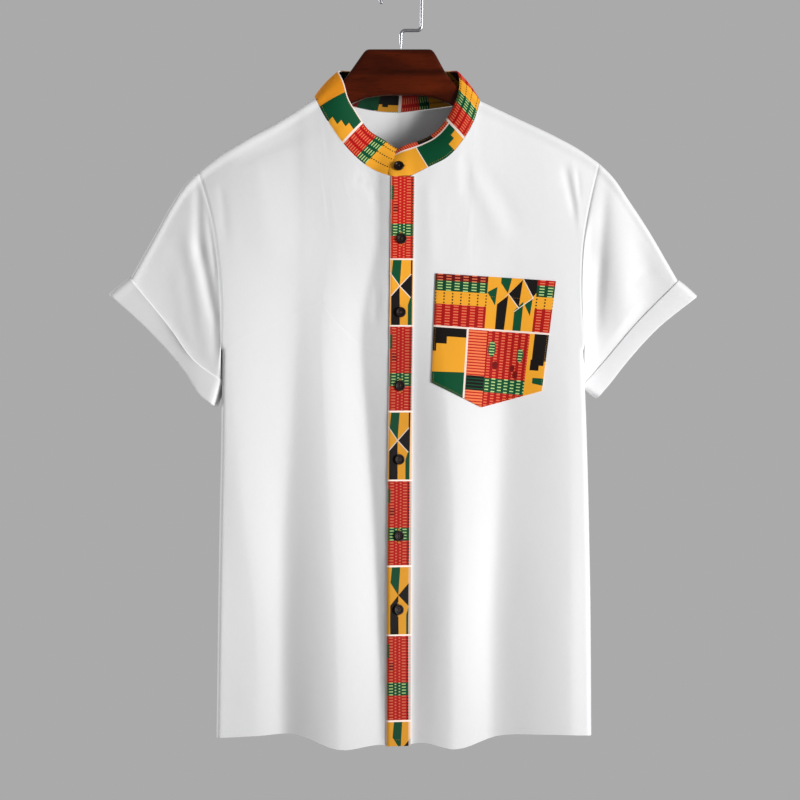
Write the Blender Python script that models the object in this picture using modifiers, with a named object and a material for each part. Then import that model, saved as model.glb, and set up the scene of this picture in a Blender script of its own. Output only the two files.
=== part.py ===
"""A man's short-sleeved shirt with a band collar, hanging on a wooden hanger.

Metres, +Z up, the front facing -Y and the wearer's left at +X. The origin is the inside of the
hook's top, where a rod carries it. Every cut piece of cloth is an open surface, worked out from the
garment's own edges and depths, with Solidify for its wall. Sizes below are in millimetres.
"""

import bmesh
import bpy
import numpy as np
from mathutils import Matrix, Vector

for old in list(bpy.data.objects):
    bpy.data.objects.remove(old, do_unlink=True)

MM = 0.001
GAP = 0.3
SEAM = 0.45
SHIRT_WALL = 1.2
COLLAR_WALL = 1.8
CUFF_WALL = 1.6

WHITE = (0.86, 0.86, 0.87, 1.0)
PRINT_GOLD = (0.80, 0.42, 0.06, 1.0)
PRINT_RED = (0.62, 0.07, 0.03, 1.0)
BUTTON_BROWN = (0.035, 0.020, 0.014, 1.0)
MAHOGANY = (0.16, 0.035, 0.014, 1.0)
CHROME = (0.72, 0.73, 0.75, 1.0)

# The garment's edges, seen from the front: x to the wearer's left, z below the hook's top.
RIGHT_SIDE = {
    "neckline": [(-1, -229), (-29, -221.5), (-58.4, -198), (-76.9, -173.4), (-86.5, -158), (-96.3, -138.4)],
    "shoulder": [(-96.3, -138.4), (-140, -166.4), (-175.8, -186), (-211.7, -209), (-226, -220.5)],
    "armhole": [(-226, -220.5), (-212, -266), (-202.5, -324), (-199.2, -370), (-199.4, -423)],
    "side_seam": [(-199.4, -423), (-200.5, -520), (-202.7, -630), (-206, -852)],
    "over_arm": [(-226, -220.5), (-238.6, -232.5), (-256.5, -258.3), (-274.4, -290.8), (-301.8, -340)],
    "under_arm": [(-199.4, -423), (-202.5, -441), (-207.2, -460.4)],
    "cuff_top": [(-301.8, -340), (-253.5, -399), (-207.2, -460.4)],
    "cuff_edge": [(-325.9, -359), (-280, -401), (-238, -449), (-223, -474), (-210.8, -484.5)],
}
LEFT_SIDE = {
    "neckline": [(-1, -229), (31.1, -217.5), (51.1, -207), (70.8, -184.6), (81.1, -165.9), (88.5, -141.8)],
    "shoulder": [(88.5, -141.8), (128.8, -160.8), (164.6, -177.6), (200.5, -197), (221.8, -212)],
    "armhole": [(221.8, -212), (210, -261), (203, -301), (200.6, -338), (203.8, -423)],
    "side_seam": [(203.8, -423), (207.2, -520), (210.6, -680), (211.7, -847)],
    "over_arm": [(221.8, -212), (236.3, -226.5), (254.2, -252.7), (272.2, -280), (309, -343)],
    "under_arm": [(203.8, -423), (206, -439), (209.4, -456.5)],
    "cuff_top": [(309, -343), (260, -393), (209.4, -456.5)],
    "cuff_edge": [(330.4, -361.3), (284, -399), (253, -433), (231, -461), (219.5, -474.4)],
}
BACK_NECK = [(-96.3, -138.4), (-54, -147), (-26, -152), (-2, -153.5), (24, -152), (54, -147), (88.5, -141.8)]
BACK_NECK_Z = -153.5
HEM = [(-206, -852), (-160, -849.5), (-120, -847), (-66, -863.5), (-22, -858), (-1, -859.5), (22, -856),
       (60, -862.5), (108, -848), (160, -846), (211.7, -847)]

# How far the cloth stands out from the plane of the hanger.
OVER_HANGER = 14.0
BODY_DEPTH = 46.0
CHEST_Z = -450.0
HEM_DEPTH = 51.0
DEPTH_SPREAD = 115.0
NECK_RISE = 38.0
SIDE_SQUARENESS = 5
ARMHOLE_OPENING = 0.25
ARMHOLE_OPENING_POWER = 1.38
CUFF_DEPTH = 31.0
CUFF_FLARE = 5.0
CUFF_SQUARENESS = 2.6

# Hanging folds: the ridge's edge at the hem and where it starts, how deep the cloth steps back
# there, how wide the step is, and how far on the cloth has come forward again.
FRONT_FOLDS = [
    # hem x, start x, start z, step, wall, run
    (-123, -101, -300, 21, 12, 50),
    (-25, -21, -380, 7, 4, 8.5),
    (12.5, 12.5, -400, 16, 9, 44),
    (107, 140, -440, 21, 12, 56),
]
BACK_FOLDS = [
    (-138, -120, -420, 17, 12, 54),
    (-52, -44, -360, 14, 12, 50),
    (36, 30, -400, 16, 12, 52),
    (118, 106, -440, 18, 12, 56),
]
# The sleeve's own fold beside the armhole: how deep its trough is and how far it lies from the seam.
SLEEVE_TROUGH = 8.0
TROUGH_AT = 13.0
TROUGH_WIDTH = 8.0
TROUGH_START = 14.0
TROUGH_END_FADE = 1.2

PLACKET_TOP_X = 2.0
PLACKET_HEM_X = -2.8
PLACKET_HALF = 12.4
STAND_LEFT = 13.5
STAND_RIGHT = 8.0
PANEL_UNDER = 8.5
NECK_FRONT_Z = -229.0
PANEL_NECK_Z = -228.0
STRIP_NECK_Z = -228.5
STAND_HEM_Z = -858.5
HEM_FRONT_Z = -859.5

BUTTON_RADIUS = 5.8
BUTTON_THICK = 2.6
BUTTON_FIRST_Z = -298.5
BUTTON_PITCH = 81.8
BUTTON_COUNT = 6
BUTTON_INSET = 1.6
COLLAR_BUTTON_X = -2.2
COLLAR_BUTTON_UP = 0.35

POCKET = {"top_in": (38.5, -336.4), "top_out": (171.8, -344.9), "low_in": (34.0, -457.2),
          "tip": (88.8, -484.9), "low_out": (156.0, -466.8)}

# The collar band, front to back on each side: its seam line and its top edge.
COLLAR_RIGHT = [
    # seam x, seam z, top x, top y, top z
    (-1, -229, -1, -17, -196.3),
    (-29, -221.5, -19, -15.5, -186),
    (-58.4, -198, -36.8, -14.5, -174.3),
    (-76.9, -173.4, -51, -15, -153.5),
    (-86.5, -158, -59.6, -14.5, -138.5),
    (-94, -145, -64.5, -10, -119),
    (-96.3, -138.4, -70.6, 0, -108.2),
    (-80, -141.4, -62, 13, -107),
    (-52, -147, -44, 18.5, -107.5),
    (-2, -153, -2, 21, -112),
]
COLLAR_LEFT = [
    (-1, -229, -1, -17, -196.3),
    (22, -221.8, 17, -15.8, -188.5),
    (51.1, -207, 36, -15, -179),
    (70.8, -184.6, 50.8, -15, -162.5),
    (81.1, -165.9, 62, -14.5, -140),
    (87, -150, 66, -10, -122.5),
    (88.5, -141.8, 63.8, 0, -108.2),
    (78, -142.4, 56, 13, -107),
    (54, -146, 40, 18.5, -107.5),
    (-2, -153, -2, 21, -112),
]
COLLAR_END = -11.5
COLLAR_TUCKED_END = 10.0
COLLAR_LAP = 2.4

FINE_STEPS = 600


def curve(points, t):
    """A smooth curve through the points: cubic spans with each slope taken from its neighbours,
    read at t, the fraction of the way along the chords."""
    p = np.asarray(points, float)
    at = np.concatenate([[0], np.cumsum(np.linalg.norm(np.diff(p, axis=0), axis=1))])
    slope = np.gradient(p, at, axis=0)
    u = np.clip(np.asarray(t, float), 0, 1) * at[-1]
    k = np.clip(np.searchsorted(at, u, side="right") - 1, 0, len(at) - 2)
    h = (at[k + 1] - at[k])[..., None]
    w = ((u - at[k])[..., None]) / h
    return ((2 * w**3 - 3 * w**2 + 1) * p[k] + (w**3 - 2 * w**2 + w) * h * slope[k]
            + (3 * w**2 - 2 * w**3) * p[k + 1] + (w**3 - w**2) * h * slope[k + 1])


def height_on(points, x):
    """The height z of a smooth edge at x, or its x at a height when the columns are swapped."""
    line = curve(points, np.linspace(0, 1, FINE_STEPS))
    order = np.argsort(line[:, 0])
    return np.interp(x, line[order, 0], line[order, 1])


def ease(t):
    """0 below 0, 1 above 1, and a smooth step between."""
    t = np.clip(t, 0, 1)
    return t * t * (3 - 2 * t)


def patch(top, bottom, left, right, s, t):
    """A net between four edges, its columns at the fractions s and its rows at t: each point is the
    sum of the two ruled surfaces, less the one ruled between the corners."""
    s = np.asarray(s)[None, :, None]
    t = np.asarray(t)[:, None, None]
    corners = ((1 - t) * ((1 - s) * top[0] + s * top[-1]) + t * ((1 - s) * bottom[0] + s * bottom[-1]))
    return (1 - t) * top + t * bottom + (1 - s) * left[:, None] + s * right[:, None] - corners


def shoulder_drop(x, z):
    """How far a point lies below the shoulder line, which runs on over the neck as a low arch."""
    ridge = np.where(x < 0, height_on(RIGHT_SIDE["shoulder"], x), height_on(LEFT_SIDE["shoulder"], x))
    for side in (RIGHT_SIDE, LEFT_SIDE):
        neck_x, neck_z = side["shoulder"][0]
        over_neck = (x * neck_x >= 0) & (np.abs(x) < abs(neck_x))
        ridge = np.where(over_neck, neck_z + NECK_RISE * (1 - (x / neck_x) ** 2), ridge)
    return np.maximum(ridge - z, 0)


def side_round(x, z):
    """1 over the chest, falling to 0 at the side seams as the cloth turns to the back. Above the
    armpit the turn opens out, because the sleeve carries on there."""
    share = np.zeros_like(x)
    for side, sign in ((RIGHT_SIDE, -1), (LEFT_SIDE, 1)):
        seam = [(height, across) for across, height in side["side_seam"]]
        armpit = side["side_seam"][0][1]
        opening = ARMHOLE_OPENING * np.maximum(z - armpit, 0) ** ARMHOLE_OPENING_POWER
        width = np.abs(height_on(seam, np.minimum(z, armpit))) + opening
        share = np.where(x * sign >= 0, np.clip(np.abs(x) / width, 0, 1), share)
    return np.sqrt(1 - share**SIDE_SQUARENESS)


def fold_step(x, z, folds):
    """How far the hanging folds set the cloth back. Each steps down behind its ridge's edge and
    comes forward again more slowly, from nothing where it starts to its full depth at the hem."""
    back = np.zeros_like(x)
    for hem_x, start_x, start_z, step, wall, run in folds:
        down = (start_z - z) / (start_z - HEM_FRONT_Z)
        edge = start_x + (hem_x - start_x) * np.clip(down, 0, 1)
        back += step * ease(down) * ease((x - edge) / wall) * (1 - ease((x - edge - wall) / (run - wall)))
    return back


def body_depth(x, z, folds):
    """The cloth's distance from the hanger's plane: a round over the hanger, widening to the body's
    depth, turned in at the sides and set back in the folds."""
    drop = shoulder_drop(x, z)
    over = np.sqrt(np.clip(2 * OVER_HANGER * drop - drop**2, 0, OVER_HANGER**2))
    over = np.where(drop > OVER_HANGER, OVER_HANGER, over)
    full = BODY_DEPTH + (HEM_DEPTH - BODY_DEPTH) * ease((z - CHEST_Z) / (HEM_FRONT_Z - CHEST_Z))
    spread = (full - OVER_HANGER) * (1 - np.exp(-np.maximum(drop - OVER_HANGER, 0) / DEPTH_SPREAD))
    turned = side_round(x, z)
    return (over + spread) * turned - fold_step(x, z, folds) * turned


def front_point(x, z):
    return np.stack([x, -body_depth(x, z, FRONT_FOLDS), z], axis=-1)


def back_point(x, z):
    return np.stack([x, body_depth(x, z, BACK_FOLDS), z], axis=-1)


def push_out(net, distance, closed=False):
    """The net moved along its own normals by a distance, closed round its columns if it is a tube."""
    wide = np.concatenate([net[:, -1:], net, net[:, :1]], axis=1) if closed else net
    across = np.gradient(wide, axis=1)
    down = np.gradient(wide, axis=0)
    normal = np.cross(down, across)
    if closed:
        normal = normal[:, 1:-1]
    normal = normal / np.maximum(np.linalg.norm(normal, axis=-1, keepdims=True), 1e-9)
    return net + distance * normal


def material(name, colour, roughness, metallic=0.0):
    made = bpy.data.materials.new(name)
    made.use_nodes = True
    shader = made.node_tree.nodes["Principled BSDF"]
    shader.inputs["Base Color"].default_value = colour
    shader.inputs["Roughness"].default_value = roughness
    shader.inputs["Metallic"].default_value = metallic
    return made


shirt_parts = bpy.data.collections.new("shirt_on_hanger")
bpy.context.scene.collection.children.link(shirt_parts)


def add_object(name, mesh, colour, roughness, metallic=0.0):
    """One named sub-part with its own material, in the shirt's collection."""
    mesh.materials.clear()
    mesh.materials.append(material(name, colour, roughness, metallic))
    made = bpy.data.objects.new(name, mesh)
    shirt_parts.objects.link(made)
    return made


def net_mesh(name, net, closed=False):
    """A mesh of four-sided faces over a net of points, in metres, joined round its columns if closed."""
    rows, columns = net.shape[:2]
    index = np.arange(rows * columns).reshape(rows, columns)
    beside = np.roll(index, -1, axis=1) if closed else index[:, 1:]
    here = index if closed else index[:, :-1]
    faces = np.stack([here[:-1], here[1:], beside[1:], beside[:-1]], axis=-1).reshape(-1, 4)
    mesh = bpy.data.meshes.new(name)
    mesh.from_pydata((net.reshape(-1, 3) * MM).tolist(), [], faces.tolist())
    mesh.shade_smooth()
    return mesh


def cloth(name, net, wall, colour, closed=False, roughness=0.7):
    """A cut piece: the net is its outer face, and the wall goes inwards from it."""
    made = add_object(name, net_mesh(name, net, closed), colour, roughness)
    shell = made.modifiers.new("wall", "SOLIDIFY")
    shell.thickness = wall * MM
    shell.offset = -1.0
    return made


# ---------------------------------------------------------------- fronts and back
NECK_COLUMNS = 8
NECK_CROWDING = 1.5
SHOULDER_COLUMNS = 11
ARMHOLE_ROWS = np.array([0, 1.3, 5, 11, 19, 31, 50, 75, 104, 133, 160, 181, 196, 205]) / 205
SEAM_ROWS = 17
SIDE_CROWDING = 1.7
PANEL_NECK_FROM = 25.0
BACK_NECK_FROM = 10.0
BACK_MIDDLE_X = -1.0
NECK_COLUMN_SPREAD = 1.02
# The first column's share of the neck edge, where the placket or the middle of the back begins.
FIRST_STEP = {"right": 0.14, "left": 0.05, "back": 0.12}


def placket_centre(z):
    return PLACKET_TOP_X + (PLACKET_HEM_X - PLACKET_TOP_X) * (NECK_FRONT_Z - z) / (NECK_FRONT_Z - HEM_FRONT_Z)


def half_panel(side, inner_x, neck_z, hem_z, first_step):
    """x and z of one half of the body: from the middle edge to the armhole and the side seam. Its
    rows meet the armhole where the sleeve's own columns do."""
    crowded = 1 - (1 - np.linspace(0, 1, NECK_COLUMNS)) ** NECK_CROWDING
    neck_share = np.concatenate([[0], first_step + (1 - first_step) * crowded])
    out_share = 1 - (1 - np.linspace(0, 1, SHOULDER_COLUMNS + 1)) ** SIDE_CROWDING
    neck = [(inner_x(neck_z), neck_z)] + [p for p in side["neckline"] if abs(p[0]) > PANEL_NECK_FROM]
    top = np.concatenate([curve(neck, neck_share), curve(side["shoulder"], out_share)[1:]])
    seam = curve(side["side_seam"], np.linspace(0, 1, SEAM_ROWS + 1))
    outer = np.concatenate([curve(side["armhole"], ARMHOLE_ROWS), seam[1:]])
    along = np.concatenate([[0], np.cumsum(np.linalg.norm(np.diff(outer, axis=0), axis=1))])
    t = along / along[-1]
    inner_z = neck_z + (hem_z - neck_z) * t
    inner = np.stack([inner_x(inner_z), inner_z], axis=-1)
    hem_out, hem_in = outer[-1, 0], inner[-1, 0]
    neck_end = side["shoulder"][0][0] * NECK_COLUMN_SPREAD
    hem_share = np.concatenate([[0], np.linspace(first_step, 1, NECK_COLUMNS)])
    hem_x = np.concatenate([hem_in + (neck_end - hem_in) * hem_share,
                            (neck_end + (hem_out - neck_end) * out_share)[1:]])
    bottom = np.stack([hem_x, height_on(HEM, hem_x)], axis=-1)
    inner[-1] = bottom[0]
    outer[-1] = bottom[-1]
    s = np.abs(hem_x - hem_in) / abs(hem_out - hem_in)
    return patch(top, bottom, inner, outer, s, t)


def seam_clear(net, toward):
    """Holds a body panel's shoulder and side edges just off the hanger's plane, so that the front
    and the back face each other across the seam."""
    net[..., 1] = np.where(toward * net[..., 1] < SEAM, toward * SEAM, net[..., 1])
    return net


right_xz = half_panel(RIGHT_SIDE, lambda z: placket_centre(z) - STAND_LEFT - GAP, PANEL_NECK_Z, HEM_FRONT_Z,
                      FIRST_STEP["right"])
left_xz = half_panel(LEFT_SIDE, lambda z: placket_centre(z) + PANEL_UNDER, PANEL_NECK_Z, HEM_FRONT_Z,
                     FIRST_STEP["left"])
right_net = seam_clear(front_point(right_xz[..., 0], right_xz[..., 1]), -1)
left_net = seam_clear(front_point(left_xz[..., 0], left_xz[..., 1]), -1)
cloth("front_right", right_net[:, ::-1], SHIRT_WALL, WHITE)
cloth("front_left", left_net, SHIRT_WALL, WHITE)


def back_half(side):
    """x and z of one half of the back, from the middle to the armhole and the side seam."""
    neck_side = [p for p in BACK_NECK if p[0] * side["shoulder"][0][0] > 0 and abs(p[0]) > BACK_NECK_FROM]
    neck_side = sorted(neck_side, key=lambda p: abs(p[0]))
    shaped = dict(side)
    shaped["neckline"] = neck_side
    return half_panel(shaped, lambda z: BACK_MIDDLE_X + 0 * z, BACK_NECK_Z, HEM_FRONT_Z, FIRST_STEP["back"])


back_right = back_half(RIGHT_SIDE)
back_left = back_half(LEFT_SIDE)
back_xz = np.concatenate([back_right[:, ::-1], back_left[:, 1:]], axis=1)
back_net = seam_clear(back_point(back_xz[..., 0], back_xz[..., 1]), 1)
cloth("back", back_net[:, ::-1], SHIRT_WALL, WHITE)


# ---------------------------------------------------------------- sleeves and turned-up cuffs
SLEEVE_ROWS = np.array([0, 0.06, 0.12, 0.19, 0.28, 0.4, 0.55, 0.7, 0.85, 1.0])
UNDER_CUFF_ROWS = np.array([0.5, 0.96])
CUFF_ROWS = np.array([0.0, 0.33, 0.67, 1.0])
SLEEVE_SEAM_GAP = 0.8
SEAM_GAP_FADE = 20.0


def sleeve_half(side, face, rows, cuff_rows):
    """One face of a sleeve, from over the arm to under it: a net between the armhole, the cuff's
    upper line and the two silhouettes, then on under the cuff to its outer edge."""
    a = ARMHOLE_ROWS
    armhole = curve(side["armhole"], a)
    cuff_top = curve(side["cuff_top"], a)
    length = np.linalg.norm(cuff_top - armhole, axis=-1)
    net = patch(armhole, cuff_top, curve(side["over_arm"], rows), curve(side["under_arm"], rows), a, rows)
    at_seam = np.abs(body_depth(armhole[:, 0], armhole[:, 1], FRONT_FOLDS if face < 0 else BACK_FOLDS))
    at_cuff = CUFF_DEPTH * np.sqrt(1 - np.abs(2 * a - 1) ** CUFF_SQUARENESS)
    share = rows[:, None]
    depth = at_seam * (1 - share) + at_cuff * share
    from_seam = share * length
    trough = SLEEVE_TROUGH * np.exp(-((from_seam - TROUGH_AT) / TROUGH_WIDTH) ** 2)
    trough = trough * ease(from_seam / TROUGH_START) * np.sin(np.pi * a) ** TROUGH_END_FADE
    depth = depth - trough * (at_seam / at_seam.max())
    shift = SLEEVE_SEAM_GAP * (1 - ease(from_seam / SEAM_GAP_FADE))[..., None]
    outwards = (cuff_top - armhole) / length[:, None]
    net = net + shift * outwards
    edge = curve(side["cuff_edge"], a)
    share = cuff_rows[:, None]
    under = cuff_top + share[..., None] * (edge - cuff_top)
    flare = at_cuff * (1 + CUFF_FLARE / CUFF_DEPTH * share)
    xz = np.concatenate([net, under])
    depth = np.concatenate([depth, flare])
    return np.stack([xz[..., 0], face * depth, xz[..., 1]], axis=-1)


def tube(side, rows, cuff_rows):
    """The whole sleeve as a tube: down its front and up its back."""
    front = sleeve_half(side, -1, rows, cuff_rows)
    back = sleeve_half(side, 1, rows, cuff_rows)
    return np.concatenate([front, back[:, -2:0:-1]], axis=1)


for name, side in (("right", RIGHT_SIDE), ("left", LEFT_SIDE)):
    order = slice(None, None, -1) if side is RIGHT_SIDE else slice(None)
    sleeve = tube(side, SLEEVE_ROWS, UNDER_CUFF_ROWS)[:, order]
    cloth("sleeve_" + name, sleeve[:, ::-1], SHIRT_WALL, WHITE, closed=True)
    band = tube(side, np.array([1.0]), CUFF_ROWS)[1:, order]
    band = push_out(band, -(GAP + CUFF_WALL), closed=True)
    cloth("cuff_" + name, band[:, ::-1], CUFF_WALL, WHITE, closed=True)


# ---------------------------------------------------------------- collar band
COLLAR_ROWS = 4
COLLAR_BOW = 1.6
COLLAR_LIFT = 0.7
LAP_FADE_FROM = 18.0
LAP_FADE_OVER = 30.0
BAND_STEPS = 500


def neck_edge():
    """The points where the band is sewn on: across the outer front end, then along the panels' own
    neck edges, round the back and to the end that is tucked under. Also how many lead to the back."""
    middle = SHOULDER_COLUMNS + NECK_COLUMNS
    left, right = left_net[0, :NECK_COLUMNS + 1], right_net[0, :NECK_COLUMNS + 1]
    back = back_net[0, middle - NECK_COLUMNS:middle + NECK_COLUMNS + 1][::-1]
    lap_x = np.linspace(COLLAR_END, left[0, 0], 4)[:-1]
    tuck_x = np.linspace(right[0, 0], COLLAR_TUCKED_END, 4)[1:]
    lap, tuck = (front_point(x, np.full_like(x, left[0, 2])) for x in (lap_x, tuck_x))
    points = np.concatenate([lap, left[:-1], back, right[-2::-1], tuck])
    return points, len(lap) + NECK_COLUMNS + NECK_COLUMNS


def collar_top(seam, to_back):
    """The band's top edge opposite each seam point, read from the two tables."""
    right, left = np.array(COLLAR_RIGHT, float), np.array(COLLAR_LEFT, float)
    lap = right[0] + (right[1] - right[0]) * (COLLAR_END - right[0, 0]) / (right[1, 0] - right[0, 0])
    tuck = left[0] + (left[1] - left[0]) * (COLLAR_TUCKED_END - left[0, 0]) / (left[1, 0] - left[0, 0])
    halves = np.concatenate([[lap], left]), np.concatenate([right[::-1], [tuck]])
    tops = []
    for rows, points in zip(halves, (seam[:to_back], seam[to_back:])):
        fine = curve(rows, np.linspace(0, 1, BAND_STEPS))
        apart = np.hypot(points[:, None, 0] - fine[:, 0], points[:, None, 2] - fine[:, 1])
        tops.append(fine[np.argmin(apart, axis=1), 2:])
    return np.concatenate(tops)


def collar_net():
    """The band as one strip from seam to top edge, bowed outwards a little, its outer front end
    lifted to lie over the tucked one."""
    low, to_back = neck_edge()
    high = collar_top(low, to_back)
    up = (high - low) / np.linalg.norm(high - low, axis=-1, keepdims=True)
    along = np.concatenate([[0], np.cumsum(np.linalg.norm(np.diff(low, axis=0), axis=1))])
    low = low + COLLAR_LIFT * up
    v = np.linspace(0, 1, COLLAR_ROWS)[:, None, None]
    flat = (low + v * (high - low))[::-1]
    outwards = push_out(flat, 1.0) - flat
    lap = COLLAR_LAP * (1 - ease((along - LAP_FADE_FROM) / LAP_FADE_OVER))
    return flat + outwards * (COLLAR_BOW * np.sin(np.pi * v[::-1]) + lap[None, :, None])


band = collar_net()
cloth("collar_band", band, COLLAR_WALL, PRINT_GOLD)


# ---------------------------------------------------------------- placket, button stand and pocket
STRIP_ROWS = 30
STRIP_COLUMNS = 4


def strip(left, right, out, hem_z):
    """A strip down the centre front, on the fronts' own surface and moved out from it."""
    z = np.linspace(STRIP_NECK_Z, hem_z, STRIP_ROWS)[:, None]
    across = np.linspace(0, 1, STRIP_COLUMNS)[None, :]
    centre = placket_centre(z)
    x = centre + left + (right - left) * across
    z = z + 0 * across
    net = front_point(x, z)
    return push_out(net, out)


placket = strip(-PLACKET_HALF, PLACKET_HALF, SHIRT_WALL + GAP, HEM_FRONT_Z)
stand = strip(-STAND_LEFT, STAND_RIGHT, 0.0, STAND_HEM_Z)
cloth("placket", placket, SHIRT_WALL, PRINT_RED)
cloth("button_stand", stand, SHIRT_WALL, PRINT_RED)

POCKET_COLUMNS = 11
POCKET_ROWS = 10


def pocket_net():
    """The patch pocket: its five corners on the left front's surface, moved out to lie on it."""
    s = np.linspace(0, 1, POCKET_COLUMNS)[None, :, None]
    t = np.linspace(0, 1, POCKET_ROWS)[:, None, None]
    top_in, top_out = np.array(POCKET["top_in"]), np.array(POCKET["top_out"])
    tip = np.array(POCKET["tip"])
    low_in, low_out = np.array(POCKET["low_in"]), np.array(POCKET["low_out"])
    at_tip = (tip[0] - low_in[0]) / (low_out[0] - low_in[0])
    low = np.where(s < at_tip, low_in + (tip - low_in) * s / at_tip,
                   tip + (low_out - tip) * (s - at_tip) / (1 - at_tip))
    xz = (1 - t) * (top_in + (top_out - top_in) * s) + t * low
    return push_out(front_point(xz[..., 0], xz[..., 1]), SHIRT_WALL + 2 * GAP)


cloth("pocket", pocket_net(), SHIRT_WALL, PRINT_GOLD)


# ---------------------------------------------------------------- buttons
BUTTON_STEPS = 14
BUTTON_RIM = 1.1
BUTTON_DISH = 0.8
BUTTON_SLOPE = 0.7
BUTTON_BEVEL = 0.4
BUTTON_WAIST = 0.55
BUTTON_FOOT = 0.8
WELD = 0.05
NORMAL_STEP = 2.0


def button(name, place, normal):
    """A turned button, dished inside a round rim, its back at the place and facing along the normal."""
    r, h = BUTTON_RADIUS, BUTTON_THICK
    profile = [(0, h - BUTTON_DISH), (r - BUTTON_RIM - BUTTON_SLOPE, h - BUTTON_DISH), (r - BUTTON_RIM, h),
               (r - BUTTON_BEVEL, h), (r, BUTTON_WAIST * h), (r - BUTTON_FOOT, 0), (0, 0)]
    edges = [(k, k + 1) for k in range(len(profile) - 1)]
    mesh = bpy.data.meshes.new(name)
    mesh.from_pydata([(across * MM, 0, up * MM) for across, up in profile], edges, [])
    made = add_object(name, mesh, BUTTON_BROWN, 0.35)
    turned = made.modifiers.new("turned", "SCREW")
    turned.steps = turned.render_steps = BUTTON_STEPS
    turned.use_merge_vertices = True
    turned.merge_threshold = WELD * MM
    made.matrix_world = (Matrix.Translation(Vector(place * MM))
                         @ Vector((0, 0, 1)).rotation_difference(Vector(normal)).to_matrix().to_4x4())
    return made


def on_placket(z):
    """A button's place on the placket at a height, and the cloth's normal there."""
    x = placket_centre(z) - BUTTON_INSET
    here, beside, above = front_point(np.array([x, x + NORMAL_STEP, x]), np.array([z, z, z + NORMAL_STEP]))
    normal = np.cross(beside - here, above - here)
    normal = normal / np.linalg.norm(normal)
    return here + normal * (SHIRT_WALL + 2 * GAP), normal


for number in range(BUTTON_COUNT):
    button(f"button_{number + 1}", *on_placket(BUTTON_FIRST_Z - number * BUTTON_PITCH))


def collar_button():
    """The band's own button, flat on the outer end of the collar."""
    column = int(np.argmin(np.abs(band[2, :4, 0] - COLLAR_BUTTON_X)))
    here = band[2, column] + COLLAR_BUTTON_UP * (band[1, column] - band[2, column])
    across = band[2, column + 1] - band[2, column - 1]
    up = band[1, column] - band[2, column]
    normal = np.cross(across, up)
    normal = normal / np.linalg.norm(normal)
    button("button_collar", here + normal * 2 * GAP, normal)


collar_button()


# ---------------------------------------------------------------- hanger
WOOD_HALF_THICK = 9.0
WOOD_TOP_Z = -84.1
WOOD_END = {-1: -206.0, 1: 203.0}
WOOD_UNDER_CLOTH = 1.2 * SHIRT_WALL + 0.75
WOOD_CORNER = 0.85
# The arms' ends: how much thinner they get, over what share of the arm, and how far the tip sinks.
TIP_THINNING = 0.55
TIP_THINS_OVER = 0.1
TIP_SINKS_OVER = 0.05
TIP_SINK = 5.0
NECK_BLOCK_END = {-1: -112.0, 1: 106.0}
WOOD_SECTION = 14
WOOD_STATIONS = [
    # share of the way out to the arm's end, height of the wood there
    (0.0, 52.0), (0.1, 51.0), (0.18, 48.0), (0.24, 40.0), (0.3, 33.0), (0.4, 29.5), (0.55, 28.0),
    (0.7, 26.5), (0.85, 25.0), (0.95, 22.0), (0.985, 17.0), (1.0, 9.0),
]
NECK_BLOCK = {-1: [(0, -84.1), (-37, -84.1), (-42, -87), (-60.5, -114.4), (-76, -129.5), (-97, -147)],
              1: [(0, -84.1), (34, -84.1), (39, -87), (50.4, -111.6), (61, -123.6), (76, -138), (89, -150)]}


def wood_top(x, sign):
    """The top of the wood: the neck block's outline, then just under the shoulder's cloth."""
    side = RIGHT_SIDE if sign < 0 else LEFT_SIDE
    under = height_on(side["shoulder"], x) - WOOD_UNDER_CLOTH
    end_x = NECK_BLOCK_END[sign]
    line = np.array(NECK_BLOCK[sign] + [(end_x, height_on(side["shoulder"], end_x) - WOOD_UNDER_CLOTH)])
    order = np.argsort(line[:, 0])
    neck = np.interp(x, line[order, 0], line[order, 1])
    return np.where(np.abs(x) < abs(end_x), neck, under)


def hanger_wood():
    """The hanger's body as a loft of rounded sections from one arm's end to the other."""
    angle = np.linspace(0, 2 * np.pi, WOOD_SECTION, endpoint=False)
    ring_y = np.sign(np.cos(angle)) * np.abs(np.cos(angle)) ** WOOD_CORNER
    ring_z = np.sign(np.sin(angle)) * np.abs(np.sin(angle)) ** WOOD_CORNER
    sections = []
    for sign in (-1, 1):
        shares, heights = np.array(WOOD_STATIONS).T
        x = WOOD_END[sign] * shares
        top = wood_top(x, sign)
        thick = WOOD_HALF_THICK * (1 - TIP_THINNING * ease(1 - (1 - shares) / TIP_THINS_OVER))
        sink = TIP_SINK * (1 - ease((1 - shares) / TIP_SINKS_OVER))
        centre = top - heights / 2 - sink
        ring = np.stack([x[:, None] + 0 * ring_y, thick[:, None] * ring_y,
                         centre[:, None] + heights[:, None] / 2 * ring_z], axis=-1)
        sections.append(ring if sign > 0 else ring[:0:-1])
    net = np.concatenate(sections)
    mesh = net_mesh("hanger_wood", net, closed=True)
    ends = bmesh.new()
    ends.from_mesh(mesh)
    bmesh.ops.holes_fill(ends, edges=[e for e in ends.edges if e.is_boundary])
    bmesh.ops.recalc_face_normals(ends, faces=ends.faces)
    ends.to_mesh(mesh)
    ends.free()
    add_object("hanger_wood", mesh, MAHOGANY, 0.25)


hanger_wood()

WIRE_RADIUS = 2.0
HOOK_RADIUS = 24.0
HOOK_DROP = 22.0
HOOK_START_DEGREES = -14
HOOK_END_DEGREES = 208
HOOK_STEP_DEGREES = 18.5
# The crank runs across from the wood's middle to its far side, both its bends cut once.
CRANK_Z = -62.8
CRANK_BEND = 3.0
CRANK_CUT_IN = 0.9
CRANK_CUT_UP = 2.0
CRANK_FAR_X = 23.0
CRANK_FAR_BEND = 4.5


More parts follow.
